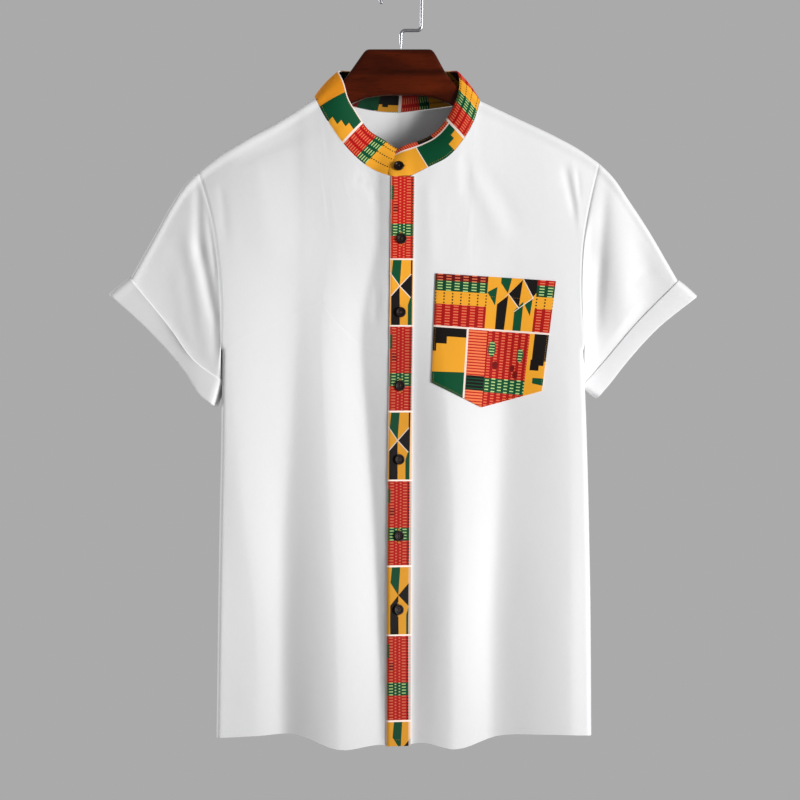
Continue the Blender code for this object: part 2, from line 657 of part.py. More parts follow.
def hook_path():
    """The wire's middle line: up from the wood, across in a crank, up and round to its free end."""
    arc = np.radians(np.arange(HOOK_START_DEGREES, HOOK_END_DEGREES + 1, HOOK_STEP_DEGREES))
    low = [(0, WOOD_TOP_Z + GAP), (0, CRANK_Z - 2 * CRANK_BEND), (CRANK_CUT_IN, CRANK_Z - CRANK_CUT_UP),
           (CRANK_BEND, CRANK_Z), (CRANK_FAR_X - CRANK_FAR_BEND, CRANK_Z),
           (CRANK_FAR_X - CRANK_CUT_IN, CRANK_Z + CRANK_CUT_UP), (CRANK_FAR_X, CRANK_Z + 2 * CRANK_BEND)]
    turn = [(HOOK_RADIUS * np.cos(a), HOOK_RADIUS * np.sin(a) - HOOK_DROP) for a in arc]
    return low + turn


wire = bpy.data.curves.new("hanger_hook", "CURVE")
wire.dimensions = "3D"
wire.bevel_depth = WIRE_RADIUS * MM
wire.bevel_resolution = 2
wire.render_resolution_u = 0
wire.use_fill_caps = True
path = hook_path()
spline = wire.splines.new("POLY")
spline.points.add(len(path) - 1)
for point, (across, up) in zip(spline.points, path):
    point.co = (across * MM, 0, up * MM, 1)
wire.materials.append(material("hanger_hook", CHROME, 0.18, 1.0))
hook = bpy.data.objects.new("hanger_hook", wire)
shirt_parts.objects.link(hook)
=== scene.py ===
import bpy
import numpy as np
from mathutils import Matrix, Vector


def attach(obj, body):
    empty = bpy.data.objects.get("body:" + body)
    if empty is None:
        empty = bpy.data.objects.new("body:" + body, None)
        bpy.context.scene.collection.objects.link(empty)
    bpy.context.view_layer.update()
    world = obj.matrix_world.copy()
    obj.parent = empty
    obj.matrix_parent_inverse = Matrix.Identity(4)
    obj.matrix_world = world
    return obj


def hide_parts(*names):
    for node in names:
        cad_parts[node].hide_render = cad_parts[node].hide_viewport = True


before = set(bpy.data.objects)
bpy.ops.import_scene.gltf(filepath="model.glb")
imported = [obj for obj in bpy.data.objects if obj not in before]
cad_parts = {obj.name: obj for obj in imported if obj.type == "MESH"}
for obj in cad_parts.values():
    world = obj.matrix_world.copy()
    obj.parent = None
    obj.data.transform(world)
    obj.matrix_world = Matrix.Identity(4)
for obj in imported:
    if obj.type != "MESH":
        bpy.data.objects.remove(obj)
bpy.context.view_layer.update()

# ---------------------------------------------------------------- the two fronts
# Each front is one cut piece of smooth white shirting, from the neck to the hem, joined to the back
# at the shoulder and the side seam. It hangs off the hanger in broad folds that deepen to the hem,
# with small creases below the collar and beside the armholes.
MM = 0.001
CLOTH_THICK = 0.9
# The garment's edges, seen from the front: x to the wearer's left, z below the hook's top, in mm.
RIGHT_SIDE = {
    "neckline": [(-1, -229), (-29, -221.5), (-58.4, -198), (-76.9, -173.4), (-86.5, -158),
                 (-96.3, -138.4)],
    "shoulder": [(-96.3, -138.4), (-140, -166.4), (-175.8, -186), (-211.7, -209), (-226, -220.5)],
    "armhole": [(-226, -220.5), (-212, -266), (-202.5, -324), (-199.2, -370), (-199.4, -423)],
    "side_seam": [(-199.4, -423), (-200.5, -520), (-202.7, -630), (-206, -852)],
    "over_arm": [(-226, -220.5), (-238.6, -232.5), (-256.5, -258.3), (-274.4, -290.8), (-301.8, -340)],
    "under_arm": [(-199.4, -423), (-198.2, -440), (-196.9, -456)],
    "cuff_top": [(-301.8, -340), (-253.5, -399), (-229, -432), (-196.9, -456)],
    "cuff_edge": [(-325.9, -359), (-280, -401), (-238, -449), (-222, -473), (-206.4, -484.6)],
}
LEFT_SIDE = {
    "neckline": [(-1, -229), (31.1, -217.5), (51.1, -207), (70.8, -184.6), (81.1, -165.9),
                 (88.5, -141.8)],
    "shoulder": [(88.5, -141.8), (128.8, -160.8), (164.6, -177.6), (200.5, -197), (221.8, -212)],
    "armhole": [(221.8, -212), (210, -261), (203, -301), (200.6, -338), (203.8, -423)],
    "side_seam": [(203.8, -423), (207.2, -520), (210.6, -680), (211.7, -847)],
    "over_arm": [(221.8, -212), (236.3, -226.5), (254.2, -252.7), (272.2, -280), (309, -343)],
    "under_arm": [(203.8, -423), (202.4, -441), (200.9, -462)],
    "cuff_top": [(309, -343), (260, -393), (228, -431), (200.9, -462)],
    "cuff_edge": [(330.4, -361.3), (284, -399), (253, -433), (231, -461), (219.5, -474.4)],
}
HEM = [(-206, -852), (-160, -849.5), (-120, -847), (-66, -863.5), (-22, -858), (-1, -859.5),
       (22, -856), (60, -862.5), (108, -848), (160, -846), (211.7, -847)]
HEM_MIDDLE_Z = -859.5
NECK_FRONT_Z = -228.0
CHEST_Z = -450.0
OVER_HANGER = 14.0
BODY_DEPTH = 46.0
HEM_DEPTH = 51.0
DEPTH_SPREAD = 115.0
NECK_RISE = 38.0
OVER_POWER = 5
OVER_ROOT = 3.4
SIDE_OPENING = 0.25
SIDE_OPENING_POWER = 1.38
FOLD_HEIGHTS = [-860, -720, -600, -500, -400, -300]
FRONT_FOLDS = [
    # creased, x at each height, how far forward at each height
    (False, [-212] * 6, [-14, -9, -2, 3, 6, 4]),
    (False, [-160, -163, -176, -184, -190, -190], [-12.5, -7.5, 0.5, 4.5, 6.5, 4]),
    (True, [-134, -133, -129, -122, -116, -110], [-14.5, -10.5, -5.5, -2, 0.5, 0]),
    (False, [-68, -72, -78, -84, -88, -80], [4.6, 4.2, 3.9, 3, 2, -1.2]),
    (True, [-22, -25, -31, -38, -43, -26], [0.5, -2.5, -3.2, -4.2, -4, -2.8]),
    (True, [-13.2] * 6, [2, 3.5, 3.5, 3.5, 2.5, 1.6]),
    (True, [11.2, 11.2, 11.4, 11.6, 12, 12.3], [-5, -4, -3, -2.5, -1, -0.5]),
    (False, [57, 56, 58, 52, 45, 42], [4.5, 7, 6.5, 6.5, 3, 0.5]),
    (True, [101, 103, 110, 116, 118, 115], [-2.5, -3, -3.5, -3.5, -0.5, 0]),
    (False, [187, 187, 187, 186, 182, 178], [12, 10.5, 5.5, 3.5, 2, 1]),
    (False, [213] * 6, [9.5, 8, 3.5, 2, 1, 1]),
]
FRONT_CREASES = [
    # from x, from z, to x, to z, width at the start, at the end, depth (below 0 it is a ridge)
    (-36, -220, -40, -246, 2.2, 4, 1.0),
    (-43, -218, -50, -240, 2.2, 4, 0.7),
    (-29, -224, -30, -262, 2.2, 4, 0.7),
    (-182, -211, -96, -172, 6, 9, 0.9),
    (62, -200, 66, -262, 6, 9, -0.3),
    (70, -204, 76, -258, 6, 9, 0.6),
    (80, -228, 122, -308, 8, 14, -1.0),
    (92, -218, 134, -292, 8, 14, 0.7),
    (30, -236, 34, -330, 5, 9, -0.7),
    (182, -218, 195, -276, 4.6, 4.0, 1.5),
    (190, -216, 200, -290, 2.8, 2.8, -0.7),
    (197, -222, 200, -252, 2.0, 2.0, 0.5),
    (-200, -240, -194, -300, 4, 6, 0.5),
    (-160, -215, -146, -330, 12, 22, -0.7),
    (-120, -196, -100, -320, 12, 26, 0.6),
    (-27, -352, -29, -392, 2.4, 3.2, 1.0),
]
RIDGE_POWER = 1.55
CREASE_SHARE = 0.16
CREASE_PAST_END = 0.12
CREASE_FADE_IN = 0.3
CREASE_FADE_OUT = 0.45
SEAM_GAP = 0.06
SEAM_DIP = 0.32
SEAM_DIP_WIDTH = 1.7
PANEL_NECK_FROM = 25.0
NECK_COLUMNS = 34
SHOULDER_COLUMNS = 64
EVEN_ROWS = np.linspace(0, 1, 58)
ARMHOLE_ROWS = 0.07 * EVEN_ROWS + 0.93 * (0.5 - 0.5 * np.cos(np.pi * EVEN_ROWS**0.9))
SEAM_ROWS = 112
FRONT_SIDE_POWER = 180
CENTRE_X = 2.0
CENTRE_LEAN = 4.8
FRONT_STEP = {"right": 0.05, "left": 0.02}
FRONT_EDGE = {"right": -13.8, "left": 8.5}
HEM_TURN = 7.0
HEM_TURN_THICK = 0.7
THREAD = 0.5
NECK_CROWDING = 1.5
SHOULDER_CROWDING = 1.9
HEM_SPREAD = 1.02


def distances(line):
    """The distance along a line from its first point to each."""
    return np.concatenate([[0], np.cumsum(np.linalg.norm(np.diff(line, axis=0), axis=1))])


def curve(points, t):
    """A smooth curve through the points: cubic spans with each slope taken from its neighbours,
    read at t, the fraction of the way along the chords."""
    p = np.asarray(points, float)
    at = distances(p)
    slope = np.gradient(p, at, axis=0)
    u = np.clip(np.asarray(t, float), 0, 1) * at[-1]
    k = np.clip(np.searchsorted(at, u, side="right") - 1, 0, len(at) - 2)
    h = (at[k + 1] - at[k])[..., None]
    w = ((u - at[k])[..., None]) / h
    return ((2 * w**3 - 3 * w**2 + 1) * p[k] + (w**3 - 2 * w**2 + w) * h * slope[k]
            + (3 * w**2 - 2 * w**3) * p[k + 1] + (w**3 - w**2) * h * slope[k + 1])


def height_on(points, x):
    """The height z of a smooth edge at x, or its x at a height when the columns are swapped."""
    line = curve(points, np.linspace(0, 1, 900))
    order = np.argsort(line[:, 0])
    return np.interp(x, line[order, 0], line[order, 1])


def ease(t):
    """0 below 0, 1 above 1, and a smooth step between."""
    t = np.clip(t, 0, 1)
    return t * t * (3 - 2 * t)


def patch(top, bottom, left, right, s, t):
    """A net between four edges, its columns at the fractions s and its rows at t: each point is the
    sum of the two ruled surfaces, less the one ruled between the corners."""
    s = np.asarray(s)[None, :, None]
    t = np.asarray(t)[:, None, None]
    over_top, over_bottom = ((1 - s) * edge[0] + s * edge[-1] for edge in (top, bottom))
    corners = (1 - t) * over_top + t * over_bottom
    return (1 - t) * top + t * bottom + (1 - s) * left[:, None] + s * right[:, None] - corners


def shoulder_drop(x, z):
    """How far a point lies below the shoulder line, which runs on over the neck as a low arch."""
    ridge = np.where(x < 0, height_on(RIGHT_SIDE["shoulder"], x), height_on(LEFT_SIDE["shoulder"], x))
    for side in (RIGHT_SIDE, LEFT_SIDE):
        neck_x, neck_z = side["shoulder"][0]
        over_neck = (x * neck_x >= 0) & (np.abs(x) < abs(neck_x))
        ridge = np.where(over_neck, neck_z + NECK_RISE * (1 - (x / neck_x) ** 2), ridge)
    return np.maximum(ridge - z, 0)


def side_round(x, z, power):
    """1 over the chest, falling to 0 at the side seams as the cloth turns to the back: the root of
    one less a high power of x over the half width, which opens out above the armpit."""
    share = np.zeros_like(x)
    for side, sign in ((RIGHT_SIDE, -1), (LEFT_SIDE, 1)):
        seam = [(height, across) for across, height in side["side_seam"]]
        armpit = side["side_seam"][0][1]
        opening = SIDE_OPENING * np.maximum(z - armpit, 0) ** SIDE_OPENING_POWER
        width = np.abs(height_on(seam, np.minimum(z, armpit))) + opening
        share = np.where(x * sign >= 0, np.clip(np.abs(x) / width, 0, 1), share)
    return np.sqrt(1 - share**power)


def softened(t):
    """0 to 1, starting level and soon straight: the root of t squared and a small share squared."""
    share = CREASE_SHARE
    return (np.sqrt(t**2 + share**2) - share) / (np.sqrt(1 + share**2) - share)


def fold_level(x, z, folds):
    """How far the hanging folds bring the cloth forward: at each height it runs from line to line,
    leaving a creased line at once and rounding over at a ridge, where the power of what is left
    slows it."""
    creased = [fold[0] for fold in folds]
    places, levels = ([height_on(list(zip(FOLD_HEIGHTS, fold[k])), z) for fold in folds]
                      for k in (1, 2))
    forward = levels[0]
    for k in range(len(folds) - 1):
        t = np.clip((x - places[k]) / (places[k + 1] - places[k]), 0, 1)
        if creased[k] and not creased[k + 1]:
            t = 1 - (1 - softened(t)) ** RIDGE_POWER
        elif creased[k + 1] and not creased[k]:
            t = (1 - softened(1 - t)) ** RIDGE_POWER
        elif not creased[k]:
            t = ease(t)
        forward = forward + (levels[k + 1] - levels[k]) * t
    return forward


def crease_depth(x, z, creases):
    """How far the small creases set the cloth back: each is a straight soft trough with a bell
    section, whose width changes along it and whose depth dies away at both ends."""
    back = np.zeros_like(x)
    for x0, z0, x1, z1, width0, width1, depth in creases:
        length = np.hypot(x1 - x0, z1 - z0)
        along = ((x - x0) * (x1 - x0) + (z - z0) * (z1 - z0)) / length**2
        aside = ((x - x0) * (z1 - z0) - (z - z0) * (x1 - x0)) / length
        width = width0 + (width1 - width0) * np.clip(along, 0, 1)
        fade = (ease((along + CREASE_PAST_END) / CREASE_FADE_IN)
                * ease((1 + CREASE_PAST_END - along) / CREASE_FADE_OUT))
        back += depth * fade * np.exp(-(aside / width) ** 2)
    return back


def body_depth(x, z, folds, creases, power):
    """The cloth's distance from the hanger's plane: a round over the hanger, widening to the body's
    depth, turned in at the sides and set back in the folds and creases."""
    drop = shoulder_drop(x, z)
    below = 1 - np.clip(drop / OVER_HANGER, 0, 1)
    over = OVER_HANGER * (1 - below**OVER_POWER) ** (1 / OVER_ROOT)
    full = BODY_DEPTH + (HEM_DEPTH - BODY_DEPTH) * ease((z - CHEST_Z) / (HEM_MIDDLE_Z - CHEST_Z))
    spread = (full - OVER_HANGER) * (1 - np.exp(-np.maximum(drop - OVER_HANGER, 0) / DEPTH_SPREAD))
    turned = side_round(x, z, power)
    return (over + spread + fold_level(x, z, folds) - crease_depth(x, z, creases)) * turned


def front_point(x, z):
    """A point on the front's outer face at x and z."""
    return np.stack([x, -body_depth(x, z, FRONT_FOLDS, FRONT_CREASES, FRONT_SIDE_POWER), z], axis=-1)


def unit(vectors):
    """Each vector over its own length."""
    return vectors / np.maximum(np.linalg.norm(vectors, axis=-1, keepdims=True), 1e-9)


def net_normals(net, closed=False):
    """The net's outward normals, from the cross product of its two running directions."""
    wide = np.concatenate([net[:, -1:], net, net[:, :1]], axis=1) if closed else net
    normal = unit(np.cross(np.gradient(wide, axis=0), np.gradient(wide, axis=1)))
    return normal[:, 1:-1] if closed else normal


def run_length(net, axis):
    """The distance along the net's rows or columns from its first edge to each point."""
    steps = np.linalg.norm(np.diff(net, axis=axis), axis=-1)
    start = np.zeros_like(np.take(steps, [0], axis=axis))
    return np.cumsum(np.concatenate([start, steps], axis=axis), axis=axis)


def add_mesh(name, points, faces, material):
    """An object of one smooth mesh with its points, given in mm, about the shared origin."""
    mesh = bpy.data.meshes.new(name)
    places, corners = np.reshape(points, (-1, 3)) * MM, np.reshape(faces, (-1, 4))
    mesh.from_pydata(places.tolist(), [], corners.tolist())
    mesh.shade_smooth()
    mesh.materials.append(material)
    made = bpy.data.objects.new(name, mesh)
    bpy.context.scene.collection.objects.link(made)
    return made


def net_piece(name, net, material, closed=False, wall=0.0, uv=None):
    """A piece of four-sided faces over a net of points in mm, joined round its columns if closed,
    with the distances along the net as its UV map. A cloth's wall goes inwards from the net."""
    rows, columns = net.shape[:2]
    index = np.arange(rows * columns).reshape(rows, columns)
    joined = np.concatenate([index, index[:, :1]], axis=1) if closed else index
    here, beside = joined[:, :-1], joined[:, 1:]
    faces = np.stack([here[:-1], here[1:], beside[1:], beside[:-1]], axis=-1)
    made = add_mesh(name, net, faces, material)
    if uv is None:
        whole = np.concatenate([net, net[:, :1]], axis=1) if closed else net
        uv = np.stack([run_length(whole, 1), run_length(whole, 0)], axis=-1)
    corners = np.stack([uv[:-1, :-1], uv[1:, :-1], uv[1:, 1:], uv[:-1, 1:]], axis=2)
    mesh = made.data
    layer = mesh.uv_layers.new(name="cut")
    layer.data.foreach_set("uv", (corners.reshape(-1) * MM).astype(np.float32))
    if wall:
        uses = np.zeros(len(mesh.loops), dtype=np.int32)
        mesh.loops.foreach_get("edge_index", uses)
        rim = np.bincount(uses, minlength=len(mesh.edges)) == 1
        mesh.attributes.new("sharp_edge", "BOOLEAN", "EDGE").data.foreach_set("value", rim)
        shell = made.modifiers.new("wall", "SOLIDIFY")
        shell.thickness = wall * MM
        shell.offset = -1.0
        shell.use_even_offset = False
    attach(made, "root")
    return made


def white_piece(name, net, closed=False, wall=CLOTH_THICK):
    """A piece of the white cloth over its net."""
    return net_piece(name, net, white_cloth, closed=closed, wall=wall)


def seam_edges(net, edges):
    """The net drawn in along its normals at the seamed edges, as a bell of the distance from each."""
    across, down = run_length(net, 1), run_length(net, 0)
    far = {"first": across, "last": across[:, -1:] - across, "top": down, "bottom": down[-1:] - down}
    dip = sum(np.exp(-(far[edge] / SEAM_DIP_WIDTH) ** 2) for edge in edges)
    return net - net_normals(net) * (SEAM_DIP * np.minimum(dip, 1))[..., None]


def linear(red, green, blue):
    """A colour of 0 to 255 in screen values as the shader's own linear values."""
    value = np.array([red, green, blue]) / 255
    value = np.where(value <= 0.04045, value / 12.92, ((value + 0.055) / 1.055) ** 2.4)
    return (*value.tolist(), 1.0)


class Field:
    """A number that varies over a surface, worked out by math nodes: adding, multiplying or
    comparing two of them adds a node to the tree."""

    def __init__(self, tree, socket):
        self.tree = tree
        self.socket = socket

    def math(self, operation, *others):
        """The field put through one math node, with other fields or plain numbers."""
        node = self.tree.nodes.new("ShaderNodeMath")
        node.operation = operation
        for place, value in enumerate((self,) + others):
            if isinstance(value, Field):
                self.tree.links.new(value.socket, node.inputs[place])
            else:
                node.inputs[place].default_value = value
        return Field(self.tree, node.outputs[0])

    def __add__(self, other):
        """The sum of the two."""
        return self.math("ADD", other)

    def __sub__(self, other):
        """The first less the second."""
        return self.math("SUBTRACT", other)

    def __mul__(self, other):
        """The product of the two."""
        return self.math("MULTIPLY", other)

    def __gt__(self, other):
        """1 where the first is the greater, and 0 elsewhere."""
        return self.math("GREATER_THAN", other)

    def __lt__(self, other):
        """1 where the first is the smaller, and 0 elsewhere."""
        return self.math("LESS_THAN", other)

    def between(self, low, high):
        """1 from the low value to the high one, and 0 elsewhere."""
        return self.math("COMPARE", (low + high) / 2, (high - low) / 2)

    def least(self, other):
        """The smaller of the two at each place."""
        return self.math("MINIMUM", other)

    def most(self, other):
        """The larger of the two at each place."""
        return self.math("MAXIMUM", other)

    def share(self):
        """What lies past the whole number below, 0 to 1."""
        return self.math("FRACT")

    def steps(self, pitch):
        """How far each place lies into its own step of a pitch, 0 to 1."""
        return (self * (1 / pitch)).share()


def feed(tree, node, **inputs):
    """A node's inputs by name, _ standing for a space: a plain value is set on its socket, and a
    field or another node's output is linked to it."""
    for label, value in inputs.items():
        socket = node.inputs[label.replace("_", " ")]
        value = value.socket if isinstance(value, Field) else value
        if hasattr(value, "is_linked"):
            tree.links.new(value, socket)
        else:
            socket.default_value = value
    return node


def add_node(tree, kind, **inputs):
    """A new shader node of one kind, fed by name."""
    return feed(tree, tree.nodes.new("ShaderNode" + kind), **inputs)


def noise(tree, vector, scale, detail=2.0, **inputs):
    """Soft noise over a surface, as a field about a half."""
    made = add_node(tree, "TexNoise", Vector=vector, Scale=scale, Detail=detail, **inputs)
    return Field(tree, made.outputs["Fac"])


def laid_over(tree, under, over, factor, blend="MIX"):
    """One colour laid over another by a factor, or multiplied into it."""
    node = tree.nodes.new("ShaderNodeMix")
    node.data_type = "RGBA"
    node.blend_type = blend
    return feed(tree, node, Factor=factor, A=under, B=over).outputs["Result"]


def shaded(tree, colour, tone):
    """A colour darkened by a tone of 0 to 1."""
    return laid_over(tree, colour, tone, 1.0, "MULTIPLY")


def new_group(name, inputs, outputs):
    """A shader node group with its named sockets, each given as name, kind and starting value, its
    inputs as fields and its output node."""
    group = bpy.data.node_groups.new(name, "ShaderNodeTree")
    for label, kind, value in inputs:
        socket = group.interface.new_socket(label, in_out="INPUT", socket_type="NodeSocket" + kind)
        socket.default_value = value
    for label, kind in outputs:
        group.interface.new_socket(label, in_out="OUTPUT", socket_type="NodeSocket" + kind)
    entry = group.nodes.new("NodeGroupInput")
    fields = [Field(group, entry.outputs[label]) for label, kind, value in inputs]
    return group, fields, group.nodes.new("NodeGroupOutput")


def place_group(tree, group, **inputs):
    """The group set into a material, fed by name."""
    node = tree.nodes.new("ShaderNodeGroup")
    node.node_tree = group
    return feed(tree, node, **inputs)


def new_material(name):
    """A material with its node tree and its main shader."""
    made = bpy.data.materials.new(name)
    made.use_nodes = True
    return made, made.node_tree, made.node_tree.nodes["Principled BSDF"]


# Plain weave: threads that pass over and under each other, with slubs, and a slow rumple.
weave, (across, down, thread, rumple_high), weave_out = new_group(
    "plain_weave",
    [("Across", "Float", 0.0), ("Down", "Float", 0.0), ("Thread", "Float", 0.5),
     ("Rumple", "Float", 0.3)],
    [("Height", "Float"), ("Tone", "Float"), ("Gloss", "Float")],
)
turns = thread.math("DIVIDE", 2 * np.pi)
warp, weft = (way.math("DIVIDE", turns).math("SINE") for way in (across, down))
lattice = (warp * weft) * 0.5 + 0.5
drawn_out = add_node(weave, "CombineXYZ", X=across, Y=down * 0.12)
slub = noise(weave, drawn_out.outputs[0], 0.9, 3.0)
broad = add_node(weave, "CombineXYZ", X=across * 0.02, Y=down * 0.008)
rumple = noise(weave, broad.outputs[0], 1.3, 2.5, Roughness=0.45)
feed(weave, weave_out, Height=lattice * 0.04 + slub * 0.03 + rumple * rumple_high,
     Tone=lattice * 0.03 + slub * 0.05 + 0.94, Gloss=slub * 0.12 + rumple * 0.08)


def cloth_material(name, colour=None, chart=None, rumple=0.3, rough=0.5, sheen=0.12):
    """A woven cloth: one colour or a printed chart under the weave's tone, bump and gloss. The chart
    is a function of the material's tree and the two cut distances, in mm, that gives a colour."""
    made, tree, shader = new_material(name)
    uv = tree.nodes.new("ShaderNodeUVMap")
    uv.uv_map = "cut"
    split = add_node(tree, "SeparateXYZ", Vector=uv.outputs["UV"])
    across, down = (Field(tree, split.outputs[axis]) * (1 / MM) for axis in ("X", "Y"))
    threads = place_group(tree, weave, Across=across, Down=down, Thread=THREAD, Rumple=rumple).outputs
    printed = chart(tree, across, down) if chart else colour
    bump = add_node(tree, "Bump", Strength=1.0, Distance=MM, Height=threads["Height"])
    feed(tree, shader, Base_Color=shaded(tree, printed, threads["Tone"]),
         Roughness=Field(tree, threads["Gloss"]) + (rough - 0.1), Specular_IOR_Level=0.15,
         Sheen_Weight=sheen, Sheen_Roughness=0.35, Normal=bump.outputs["Normal"])
    return made


white_cloth = cloth_material("white_shirting", colour=linear(243, 243, 244), rumple=0.55)


def centre_line(z):
    """The centre front's x at a height: it leans a little from the neck to the hem."""
    neck_z = RIGHT_SIDE["neckline"][0][1]
    return CENTRE_X - CENTRE_LEAN * (neck_z - z) / (neck_z - HEM_MIDDLE_Z)


def half_panel(side, inner_x, neck_z, first_step):
    """x and z of one half of the body: a net between its middle edge, the neck and shoulder, the
    armhole and side seam, and the hem. Its columns crowd to the neck point and to the armhole by a
    power of what is left, and its rows follow the outer edge."""
    crowded = 1 - (1 - np.linspace(0, 1, NECK_COLUMNS)) ** NECK_CROWDING
    neck_share = np.concatenate([[0], first_step + (1 - first_step) * crowded])
    out_share = 1 - (1 - np.linspace(0, 1, SHOULDER_COLUMNS + 1)) ** SHOULDER_CROWDING
    neck = [(inner_x(neck_z), neck_z)] + [p for p in side["neckline"] if abs(p[0]) > PANEL_NECK_FROM]
    top = np.concatenate([curve(neck, neck_share), curve(side["shoulder"], out_share)[1:]])
    seam = curve(side["side_seam"], np.linspace(0, 1, SEAM_ROWS + 1))
    outer = np.concatenate([curve(side["armhole"], ARMHOLE_ROWS), seam[1:]])
    t = distances(outer) / distances(outer)[-1]
    inner_z = neck_z + (HEM_MIDDLE_Z - neck_z) * t
    inner = np.stack([inner_x(inner_z), inner_z], axis=-1)
    hem_out, hem_in = outer[-1, 0], inner[-1, 0]
    neck_end = side["shoulder"][0][0] * HEM_SPREAD
    hem_share = np.concatenate([[0], np.linspace(first_step, 1, NECK_COLUMNS)])
    hem_x = np.concatenate([hem_in + (neck_end - hem_in) * hem_share,
                            (neck_end + (hem_out - neck_end) * out_share)[1:]])
    bottom = np.stack([hem_x, height_on(HEM, hem_x)], axis=-1)
    inner[-1] = bottom[0]
    outer[-1] = bottom[-1]
    s = np.abs(hem_x - hem_in) / abs(hem_out - hem_in)
    return patch(top, bottom, inner, outer, s, t)


def held_off(net, toward):
    """The shoulder and side edges held just off the hanger's plane, so that front meets back. The
    first row's columns past the neck are the shoulder's."""
    net[..., 1] = np.where(toward * net[..., 1] < SEAM_GAP, toward * SEAM_GAP, net[..., 1])
    net[0, -SHOULDER_COLUMNS - 1:, 1] = toward * SEAM_GAP
    if toward > 0:
        net[0, :SHOULDER_COLUMNS + 1, 1] = toward * SEAM_GAP
    return net


def hem_turn(name, net):
    """The hem's turned-up layer: the lowest few mm of the body's cloth again, just inside it."""
    down = run_length(net, 0)
    row = int(np.argmin(np.abs((down[-1:] - down).mean(axis=1) - HEM_TURN)))
    share = np.linspace(0, 1, 5)[:, None, None]
    normal = net_normals(net)
    strip = (1 - share) * net[row] + share * net[-1]
    inward = (1 - share) * normal[row] + share * normal[-1]
    return white_piece(name, strip - inward * (CLOTH_THICK + 0.1), wall=HEM_TURN_THICK)


def hung_panels(panels):
    """Panels of the body, then their turned-up hems: each with its name, its net, and the flat size
    and area of its cut, in metres, which are not used."""
    made = [white_piece("shirt_" + name, net) for name, net, flat, area in panels]
    for panel, (name, net, flat, area) in zip(made, panels):
        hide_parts(name)
        hem_turn("hem_turn_" + name, net)


def front_net(side, name):
    """One front's net from its middle edge outwards, held off at the seams."""
    xz = half_panel(side, lambda z: centre_line(z) + FRONT_EDGE[name], NECK_FRONT_Z, FRONT_STEP[name])
    return held_off(front_point(xz[..., 0], xz[..., 1]), -1)


right_net = seam_edges(front_net(RIGHT_SIDE, "right")[:, ::-1], ["first"])
left_net = seam_edges(front_net(LEFT_SIDE, "left"), ["last"])
hung_panels([("front_right", right_net, (0.29, 0.727), 0.145),
             ("front_left", left_net, (0.285, 0.727), 0.15)])

# ---------------------------------------------------------------- the back
# The back is one whole piece of the same cloth, without a yoke, cut a little higher at the neck. It
# hangs in its own folds from the shoulder blades, and shows its inside through the neck opening.
BACK_NECK = [(-96.3, -138.4), (-54, -147), (-26, -152), (-2, -153.5), (24, -152), (54, -147),
             (88.5, -141.8)]
BACK_NECK_Z = -153.5
BACK_MIDDLE_X = -1.0
BACK_STEP = 0.04
BACK_SIDE_POWER = 12
BACK_FOLDS = [
    # creased, x at each height, how far back at each height
    (False, [-212] * 6, [0] * 6),
    (False, [-170, -170, -168, -165, -164, -162], [1, 1, 0.5, 0, 0, 0]),
    (True, [-131, -130, -126, -122, -118, -116], [-10, -9, -6.5, -3.5, -1, 0]),
    (False, [-86, -86, -84, -82, -80, -80], [3.5, 3, 2, 1, 0.4, 0]),
    (True, [-45, -44, -42, -40, -38, -38], [-8, -8, -6.5, -4.5, -2.2, 0]),
    (False, [-2, -4, -4, -5, -6, -6], [4, 3.5, 2.4, 1, 0.3, 0]),
    (True, [43, 42, 40, 38, 36, 35], [-9, -8.5, -6, -3, -1, 0]),
    (False, [84, 82, 80, 78, 76, 75], [3, 3, 2, 1, 0, 0]),
    (True, [126, 124, 121, 116, 113, 112], [-9.5, -8.5, -6, -3, -0.5, 0]),
    (False, [176, 174, 172, 170, 168, 166], [2, 2, 1, 0.5, 0, 0]),
    (False, [213] * 6, [0] * 6),
]
BACK_CREASES = [
    # from x, from z, to x, to z, width at the start, at the end, depth (below 0 it is a ridge)
    (-60, -165, -84, -300, 10, 24, 1.4),
    (58, -165, 76, -310, 10, 22, -1.5),
    (6, -165, 2, -330, 12, 26, 1.2),
    (-186, -240, -164, -330, 6, 12, 1.5),
    (184, -236, 168, -320, 5, 11, 1.6),
    (-196, -250, -184, -330, 3.5, 5, -1.0),
    (-176, -430, -110, -400, 9, 16, 1.1),
    (186, -432, 128, -404, 9, 15, 1.0),
]


def back_point(x, z):
    """A point on the back's outer face at x and z."""
    return np.stack([x, body_depth(x, z, BACK_FOLDS, BACK_CREASES, BACK_SIDE_POWER), z], axis=-1)


def back_half(side):
    """x and z of one half of the back, from the middle to the armhole and the side seam."""
    neck_side = [p for p in BACK_NECK if p[0] * side["shoulder"][0][0] > 0 and abs(p[0]) > 10]
    shaped = dict(side)
    shaped["neckline"] = sorted(neck_side, key=lambda p: abs(p[0]))
    return half_panel(shaped, lambda z: BACK_MIDDLE_X + 0 * z, BACK_NECK_Z, BACK_STEP)


back_xz = np.concatenate([back_half(RIGHT_SIDE)[:, ::-1], back_half(LEFT_SIDE)[:, 1:]], axis=1)
back_flat = held_off(back_point(back_xz[..., 0], back_xz[..., 1]), 1)
back_net = seam_edges(back_flat[:, ::-1], ["first", "last"])
hung_panels([("back", back_net, (0.512, 0.727), 0.316)])

